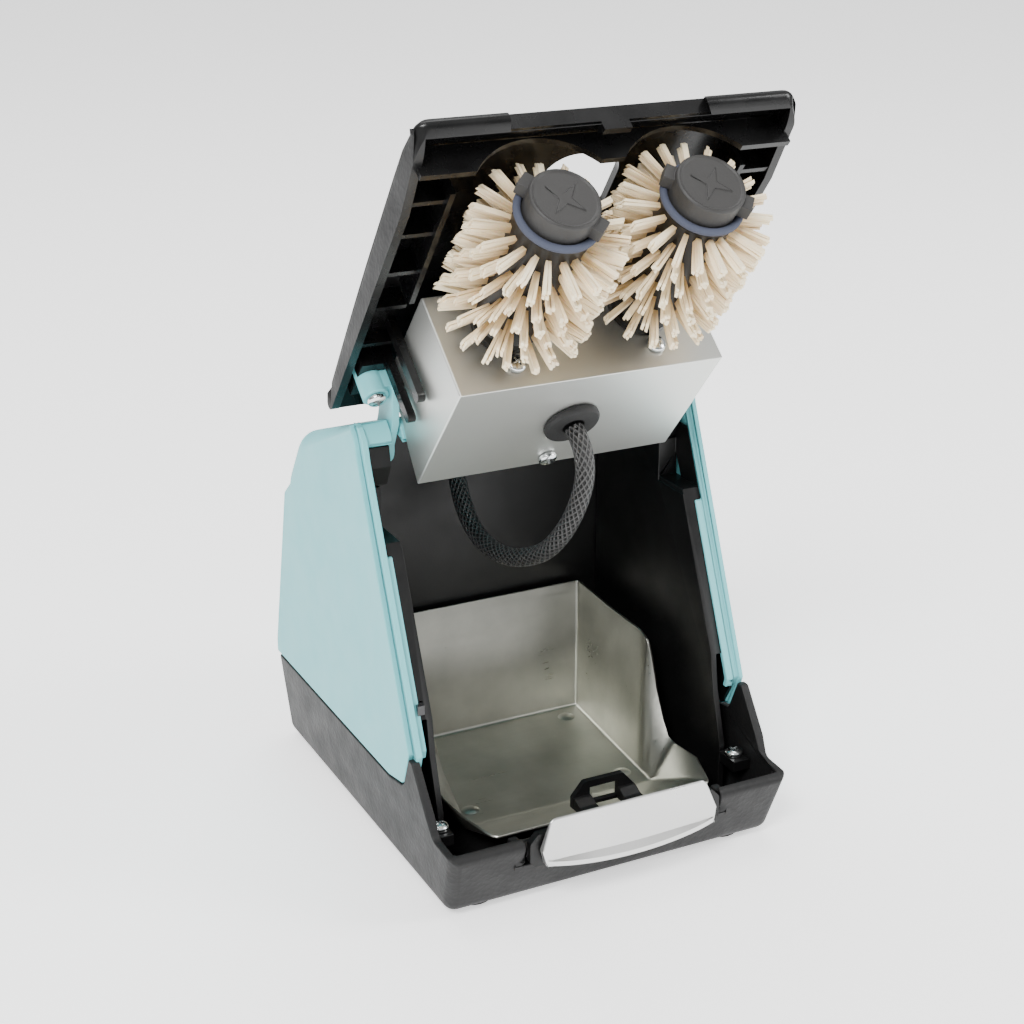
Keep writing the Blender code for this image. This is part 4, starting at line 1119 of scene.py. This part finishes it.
class TIP_CLEANER_OT_shell(bpy.types.Operator):
    """Pale shell with soft rear edges and a grooved lip round its opening."""

    bl_idname = "tip_cleaner.shell"
    bl_label = "Shell"

    def execute(self, context):
        nose = arc(HINGE_AT, 11.6, 171.0, 124.0, 8)
        outline = rounded((
            (36.4, RIM + 0.3, 9.0), (25.6, 30.6, 3.0), (22.1, 39.4), EDGE_LOW, *nose, (64.0, 130.4),
            (106.0, top_z(106.0), 14.0), (117.0, 99.0, 14.0), (133.2, 33.0), (133.2, RIM + 0.3),
        ), 10)
        outer = slab(outline, -57.7, 57.7)
        outer = softened(outer, 6.0, 8, lambda p: p.y > 63.9 and p.z > 34.0 and abs(p.x) > 50.0)
        inside = (
            (130.4, 20.0), (130.8, 33.0), (114.4, 98.4), (104.6, top_z(104.6) - 3.2),
            (60.6, top_z(60.6) - 4.2), (57.2, 125.6), (40.0, 132.0), (-10.0, 110.0), (-10.0, 20.0),
        )
        hollow = slab(inside, -55.3, 55.3)
        cuts = [softened(hollow, 4.4, 6, lambda p: p.y > 60.0 and p.z > 34.0 and abs(p.x) > 50.0)]
        front = [(30.0, 29.9), (25.9, 31.4), (22.1, 39.4), EDGE_LOW, EDGE_HIGH, nose[4], nose[-1]]
        groove = [(y - 3.0, z) for y, z in front] + [(y + 0.9, z) for y, z in reversed(front)]
        ridge = [(y + 0.15, z) for y, z in front[2:]] + [(y + 1.15, z) for y, z in reversed(front[2:])]
        wide = ((22.1, 39.4), EDGE_LOW, (edge_y(95.0), 95.0))
        wide_ridge = [(y + 0.15, z) for y, z in wide] + [(y + 1.9, z) for y, z in reversed(wide)]
        ridges, grooves = [], []
        for side in (-1.0, 1.0):
            cuts.append(block(sided(side, 42.4, 45.7), (50.0, 75.0), (110.0, 140.0)))
            ridges.append(slab(ridge, *sided(side, 53.9, 55.5)))
            ridges.append(slab(wide_ridge, *sided(side, 51.7, 55.5)))
            grooves.append(slab(groove, *sided(side, 54.3, 56.2)))
        mesh = cleaned(combined(combined(combined(outer, cuts), joins=ridges), grooves))
        piece = add_piece("shell_moulding", mesh, "housing", aqua(), HOUSE, 0.35, 3)
        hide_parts("housing_shell")
        return {"FINISHED"}


class TIP_CLEANER_OT_lid(bpy.types.Operator):
    """Lid with crowned skin, ribs, finger walls, arched cross wall and insertion hole."""

    bl_idname = "tip_cleaner.lid"
    bl_label = "Lid"

    def execute(self, context):
        skin = [(lid_skin(z), z) for z in (104.0, 94.0, 84.0, 72.0, 60.0, 45.0, 30.0)]
        outline = rounded((
            (12.3, -3.3, 2.0), (15.1, 90.7), (19.1, 113.2), (24.4, 118.6, 2.0), (26.6, 114.0, 2.0), *skin,
            (lid_skin(8.5), 8.5, 3.0),
        ))
        outer = slab(outline, -57.5, 57.5)
        outer = softened(outer, 4.2, 7, lambda p: p.y > 16.0 and abs(p.x) > 50.0 and p.z > 3.0)
        inner = [(-10.0, 1.6), (13.0, 1.2), (lid_skin(11.0) - 3.6, 11.4)]
        inner += [(lid_skin(z) - 2.3, z) for z in (16.0, 60.0, 84.0, 104.0)]
        inner += [(24.4, 111.6), (21.4, 114.6), (16.4, 112.8), (-10.0, 90.7)]
        hollow = slab(inner, -54.9, 54.9)
        hollow = softened(hollow, 2.4, 5, lambda p: p.y > 16.0 and abs(p.x) > 50.0 and p.z < 110.0)
        mesh = combined(outer, [hollow])
        joins = [block((-56.0, 56.0), (15.1, 24.4), (105.0, 106.8))]
        for side in (-1.0, 1.0):
            for z in (13.4, 31.0, 48.4, 64.2, 80.7, 94.0):
                depth = (14.9 + z * 0.012, lid_skin(z) - 1.0)
                joins.append(block(sided(side, 44.4, 56.0), depth, (z - 0.8, z + 0.8)))
            wall = ((13.6, 52.0), (15.2, 98.0), (lid_skin(98.0) - 1.0, 98.0), (lid_skin(52.0) - 1.0, 52.0))
            joins.append(slab(wall, *sided(side, 43.6, 45.2)))
            joins.append(block(sided(side, 45.5, 53.4), (11.9, 18.4), (10.6, 25.6)))
            for low, high in ((22.4, 25.4), (33.0, 36.4)):
                finger = rounded((
                    (-7.6, low, 1.4), (-7.6, high, 1.4),
                    (lid_skin(high) - 1.0, high), (lid_skin(low) - 1.0, low),
                ))
                joins.append(slab(finger, *sided(side, 42.9, 45.3)))
        catch = ((24.6, 115.4), (18.8, 115.4), (18.8, 112.4), (20.4, 111.2), (24.6, 111.2))
        joins.append(slab(catch, -4.2, 4.2))
        mesh = combined(mesh, joins=joins)
        opening = rounded(((-12.0, 68.0, 9.0), (12.0, 68.0, 9.0), (12.0, 97.0, 9.0), (-12.0, 97.0, 9.0)), 10)
        relief = ((-31.0, 114.4), (29.4, 114.4), (24.0, 125.0), (-31.0, 125.0))
        cuts = [slab(opening, 18.0, 34.0, BACKWARDS), slab(relief, 10.0, 40.0, BACKWARDS)]
        for side in (-1.0, 1.0):
            cuts.append(rod((side * BRUSH_X, BRUSH_Y, 100.0), (side * BRUSH_X, BRUSH_Y, 109.6), 23.4, 72))
        mesh = cleaned(combined(mesh, cuts))
        inner_faces = []
        for face in mesh.polygons:
            on_side = abs(face.normal.x) > 0.5 and abs(face.center.x) > 57.0 * MM
            inner_faces.append(face.normal.y < 0.25 and not on_side)
        piece = add_piece(
            "lid_moulding", mesh, "lid", textured_black(), LID, 0.3, 2, clamp=True
        )
        mesh.materials.append(gloss_black())
        mesh.polygons.foreach_set("material_index", [int(inner) for inner in inner_faces])
        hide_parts("lid_shell")
        return {"FINISHED"}


class TIP_CLEANER_OT_frames(bpy.types.Operator):
    """Inner frames, hinge arms and motor box with broken edges, and the lower side skins."""

    bl_idname = "tip_cleaner.frames"
    bl_label = "Frames and Box"

    def execute(self, context):
        rows = (
            ("inner_frame_left", "housing", smooth_black(), "black_smooth", 0.25),
            ("inner_frame_right", "housing", smooth_black(), "black_smooth", 0.25),
            ("hinge_arm_left", "lid", aqua(), "aqua", 0.3),
            ("hinge_arm_right", "lid", aqua(), "aqua", 0.3),
            ("motor_box", "lid", galvanised(), "galvanised", 0.5),
        )
        for node, body, material, slot, width in rows:
            piece = add_piece(f"finished_{node}", cleaned(copied(node)), body, material, None, width)
            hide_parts(node)
        lower = (
            (edge_y(50.0) + 1.2, 50.0), (23.0, 39.2), (27.5, 31.5), (36.0, 29.4), (60.0, 29.4), (60.0, 50.0),
        )
        skins = [slab(lower, *sided(side, 54.0, 55.1)) for side in (-1.0, 1.0)]
        add_piece("lower_skins", joined(skins), "housing", smooth_black(), HOUSE)
        return {"FINISHED"}


class TIP_CLEANER_OT_latch(bpy.types.Operator):
    """Rocking carrier: plate, barrel on its pin, and the window that holds the lid's catch."""

    bl_idname = "tip_cleaner.latch"
    bl_label = "Latch"

    def execute(self, context):
        right = ((30.4, 12.6, 1.0), (32.0, 14.2, 0.6), (32.0, 20.2, 1.5), (29.4, 23.0, 1.0))
        plate = rounded(right + tuple((-x, z, r) for x, z, r in reversed(right)))
        mesh = slab(plate, -6.6, -4.2, BACKWARDS)
        joins = [rod((-32.4, -2.5, 17.0), (32.4, -2.5, 17.0), 2.6)]
        for side in (-1.0, 1.0):
            arm = rounded((
                (-5.4, 19.2), (9.0, 19.2), (9.0, 23.0, 1.0), (6.6, 23.0, 2.0), (3.5, 21.6, 2.0), (-5.4, 21.6),
            ))
            joins.append(slab(arm, *sided(side, 4.7, 10.4)))
        window_right = ((10.5, 19.2), (10.5, 22.8, 1.2), (6.6, 27.4, 1.2))
        window = rounded(window_right + ((-6.6, 27.4, 1.2), (-10.5, 22.8, 1.2), (-10.5, 19.2)))
        joins.append(slab(window, 7.6, 9.4, BACKWARDS))
        mesh = combined(mesh, joins=joins)
        cuts = [
            block((-4.8, 4.8), (5.0, 12.0), (20.2, 25.2)),
            rod((-40.0, -2.5, 17.0), (40.0, -2.5, 17.0), 1.35),
            block((-26.0, -17.0), (-5.7, 0.7), (13.8, 20.2)),
        ]
        mesh = cleaned(combined(mesh, cuts))
        piece = add_piece(
            "latch_moulding", mesh, "latch", smooth_black(), HOUSE, 0.25, clamp=True
        )
        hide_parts("latch_carrier")
        return {"FINISHED"}


# ------------------------------------------------------------------ tray
class TIP_CLEANER_OT_tray(bpy.types.Operator):
    """Folded waste tray with rounded bends and four pressed dimples."""

    bl_idname = "tip_cleaner.tray"
    bl_label = "Waste Tray"

    def execute(self, context):
        rim = (
            (41.4, 21.0, 17.6), (41.3, 33.7, 16.4), (41.2, 38.1, 17.1), (41.1, 40.9, 22.0),
            (40.9, 45.2, 30.9), (40.7, 49.1, 43.6), (40.6, 51.2, 46.3), (40.5, 55.8, 47.9),
            (40.4, 75.8, 48.2), (40.2, 98.4, 49.4),
        )
        mesh = bpy.data.meshes.new("tray_sheet")
        work = bmesh.new()

        def vert(point):
            return work.verts.new(Vector(point) * MM)

        rear, front, corner = (vert(p) for p in ((38.0, 94.0, 3.6), (33.5, 34.5, 3.6), (37.3, 6.2, 16.6)))
        edge = [vert(point) for point in rim]
        middle = ((0.0, 94.0, 3.6), (0.0, 34.5, 3.6), (0.0, 6.2, 16.6), (0.0, 98.4, 49.4))
        rear_mid, front_mid, lip_mid, top_mid = (vert(point) for point in middle)
        work.faces.new((front_mid, front, corner, lip_mid))
        work.faces.new((front, edge[1], edge[0], corner))
        work.faces.new((front, edge[3], edge[2], edge[1]))
        feet = [vert((33.5 + (y - 34.5) * 0.0756, y, 3.6)) for y in (39.0, 43.0, 46.5, 52.0, 74.0)]
        feet = [front, *feet, rear]
        for index in range(6):
            work.faces.new((feet[index], feet[index + 1], edge[index + 4], edge[index + 3]))
        work.faces.new((rear_mid, top_mid, edge[-1], rear))
        work.faces.new((rear_mid, *feet[::-1], front_mid))
        half = work.verts[:] + work.edges[:] + work.faces[:]
        bmesh.ops.mirror(work, geom=half, axis="X", merge_dist=SAME_CORNER)
        bmesh.ops.remove_doubles(work, verts=work.verts, dist=SAME_CORNER)
        bmesh.ops.recalc_face_normals(work, faces=work.faces)
        folds = [edge for edge in work.edges if len(edge.link_faces) == 2 and edge.calc_face_angle() > 0.30]
        bends = [edge for edge in folds if edge.calc_length() > 0.0015]
        bmesh.ops.bevel(
            work, geom=bends, offset=3.0 * MM, segments=5, profile=0.5, affect="EDGES", clamp_overlap=True
        )
        work.to_mesh(mesh)
        work.free()
        tray = add_piece("folded_tray", mesh, "housing", tray_steel(), HOUSE, smooth=40.0)
        solid = tray.modifiers.new("sheet", "SOLIDIFY")
        solid.thickness = 0.8 * MM
        solid.offset = -1.0
        solid.use_even_offset = True
        bevel = tray.modifiers.new("broken edges", "BEVEL")
        bevel.width = 0.15 * MM
        bevel.segments = 2
        bevel.limit_method = "ANGLE"
        bevel.angle_limit = math.radians(40.0)
        bevel.use_clamp_overlap = False
        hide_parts("waste_tray")
        domes = []
        for x, y in ((29.6, 86.5), (-29.6, 86.5), (27.4, 43.8), (-27.4, 43.8)):
            profile = arc((0.0, -5.2), 6.2, 90.0, 62.0, 6) + [(0.0, 0.2)]
            domes.append(placed(turned(profile, 28), x, y, 4.2))
        add_piece("tray_dimples", joined(domes), "housing", tray_steel(), HOUSE)
        return {"FINISHED"}


# ------------------------------------------------------------------ handle
class TIP_CLEANER_OT_handle(bpy.types.Operator):
    """Silver handle cover with its curved finger lip."""

    bl_idname = "tip_cleaner.handle"
    bl_label = "Handle"

    def execute(self, context):
        silver = moulded(
            "satin_silver", (0.66, 0.66, 0.65), 0.30, 3000.0, 0.05, 0.03, metallic=0.9, scuff=0.06
        )
        half, steps = 28.2, 28
        bend = [half * math.cos(math.pi * k / steps) for k in range(steps + 1)]
        depth = [math.sqrt(max(0.0, 1.0 - (x / half) ** 2)) for x in bend]
        lower = [(-x, 13.9 - 2.5 * d * d) for x, d in zip(bend, depth)]
        outline = rounded([*lower, (29.4, 18.6), (26.0, 27.8, 2.4), (-26.0, 27.8, 2.4), (-29.4, 18.6)])
        plate = slab(outline, -9.4, -7.2, BACKWARDS)
        for vertex in plate.vertices:
            if vertex.co.y < -8.0 * MM:
                vertex.co.y += (vertex.co.z - 19.2 * MM) * 0.16
        mesh = bpy.data.meshes.new("finger_lip")
        work = bmesh.new()
        rings = []
        for x, d in zip(bend, depth):
            low = 13.9 - 2.5 * d * d
            top = 14.4 + 5.2 * d
            face = -9.6 + (top - 19.2) * 0.16
            profile = (
                (face + 1.6, top), (face + 0.9 * d, top - 0.2), (face + 0.7 * d, low + 4.6 * d),
                (-9.9 - 2.2 * d, low + 1.9), (-9.9 - 2.3 * d, low + 0.5), (-9.2 - 1.6 * d, low - 0.1),
                (-8.4, low + 0.1),
            )
            rings.append([work.verts.new((x * MM, y * MM, z * MM)) for y, z in profile])
        for first, second in zip(rings, rings[1:]):
            for k in range(len(first)):
                near = (k + 1) % len(first)
                work.faces.new((first[k], first[near], second[near], second[k]))
        work.faces.new(rings[0])
        work.faces.new(rings[-1][::-1])
        bmesh.ops.recalc_face_normals(work, faces=work.faces)
        work.to_mesh(mesh)
        work.free()
        face = add_piece("handle_face", cleaned(plate), "latch", silver, HOUSE, 0.45, 3, clamp=True)
        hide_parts("handle_cover")
        add_piece("handle_lip", mesh, "latch", silver, HOUSE, smooth=42.0)
        return {"FINISHED"}


# ------------------------------------------------------------------ feet and inner parts
class TIP_CLEANER_OT_fittings(bpy.types.Operator):
    """Feet, and better materials for the small and inner working parts."""

    bl_idname = "tip_cleaner.fittings"
    bl_label = "Fittings"

    def execute(self, context):
        board = moulded("solder_mask", (0.012, 0.11, 0.04), 0.35, 900.0, 0.1, 0.2)
        window = moulded("sensor_window", (0.02, 0.02, 0.022), 0.12, 2000.0, 0.02, 0.1, coat=0.5)
        materials = {
            "rubber": black_rubber(), "black_smooth": smooth_black(), "steel": plain_steel(),
            "board": board, "lens": window, "galvanised": galvanised(), "zinc": zinc(),
        }
        slots = {entry["node"]: entry["material_slot"] for entry in frame["record"]["subparts"]}
        for node, slot in slots.items():
            if slot in materials:
                refinish(node, materials[slot])
        return {"FINISHED"}


class TIP_CLEANER_PT_panel(bpy.types.Panel):
    """Lists the builders and their settings."""

    bl_idname = "TIP_CLEANER_PT_panel"
    bl_label = "Tip Cleaner"
    bl_space_type = "VIEW_3D"
    bl_region_type = "UI"
    bl_category = "Tip Cleaner"

    def draw(self, context):
        for group in (context.scene.tip_cleaner_sizes, context.scene.tip_cleaner_colours):
            for name in group.__annotations__:
                self.layout.prop(group, name)
        for operator in BUILDERS:
            self.layout.operator(operator.bl_idname)


BUILDERS = (
    TIP_CLEANER_OT_stage,
    TIP_CLEANER_OT_cable,
    TIP_CLEANER_OT_brushes,
    TIP_CLEANER_OT_screws,
    TIP_CLEANER_OT_base,
    TIP_CLEANER_OT_shell,
    TIP_CLEANER_OT_lid,
    TIP_CLEANER_OT_frames,
    TIP_CLEANER_OT_latch,
    TIP_CLEANER_OT_tray,
    TIP_CLEANER_OT_handle,
    TIP_CLEANER_OT_fittings,
)
CLASSES = (TipCleanerSizes, TipCleanerColours, *BUILDERS, TIP_CLEANER_PT_panel)


def register():
    for cls in CLASSES:
        bpy.utils.register_class(cls)
    bpy.types.Scene.tip_cleaner_sizes = bpy.props.PointerProperty(type=TipCleanerSizes)
    bpy.types.Scene.tip_cleaner_colours = bpy.props.PointerProperty(type=TipCleanerColours)


def unregister():
    del bpy.types.Scene.tip_cleaner_colours
    del bpy.types.Scene.tip_cleaner_sizes
    for cls in reversed(CLASSES):
        bpy.utils.unregister_class(cls)


def main():
    register()
    for operator in BUILDERS:
        category, name = operator.bl_idname.split(".")
        getattr(getattr(bpy.ops, category), name)()


if __name__ == "__main__":
    main()
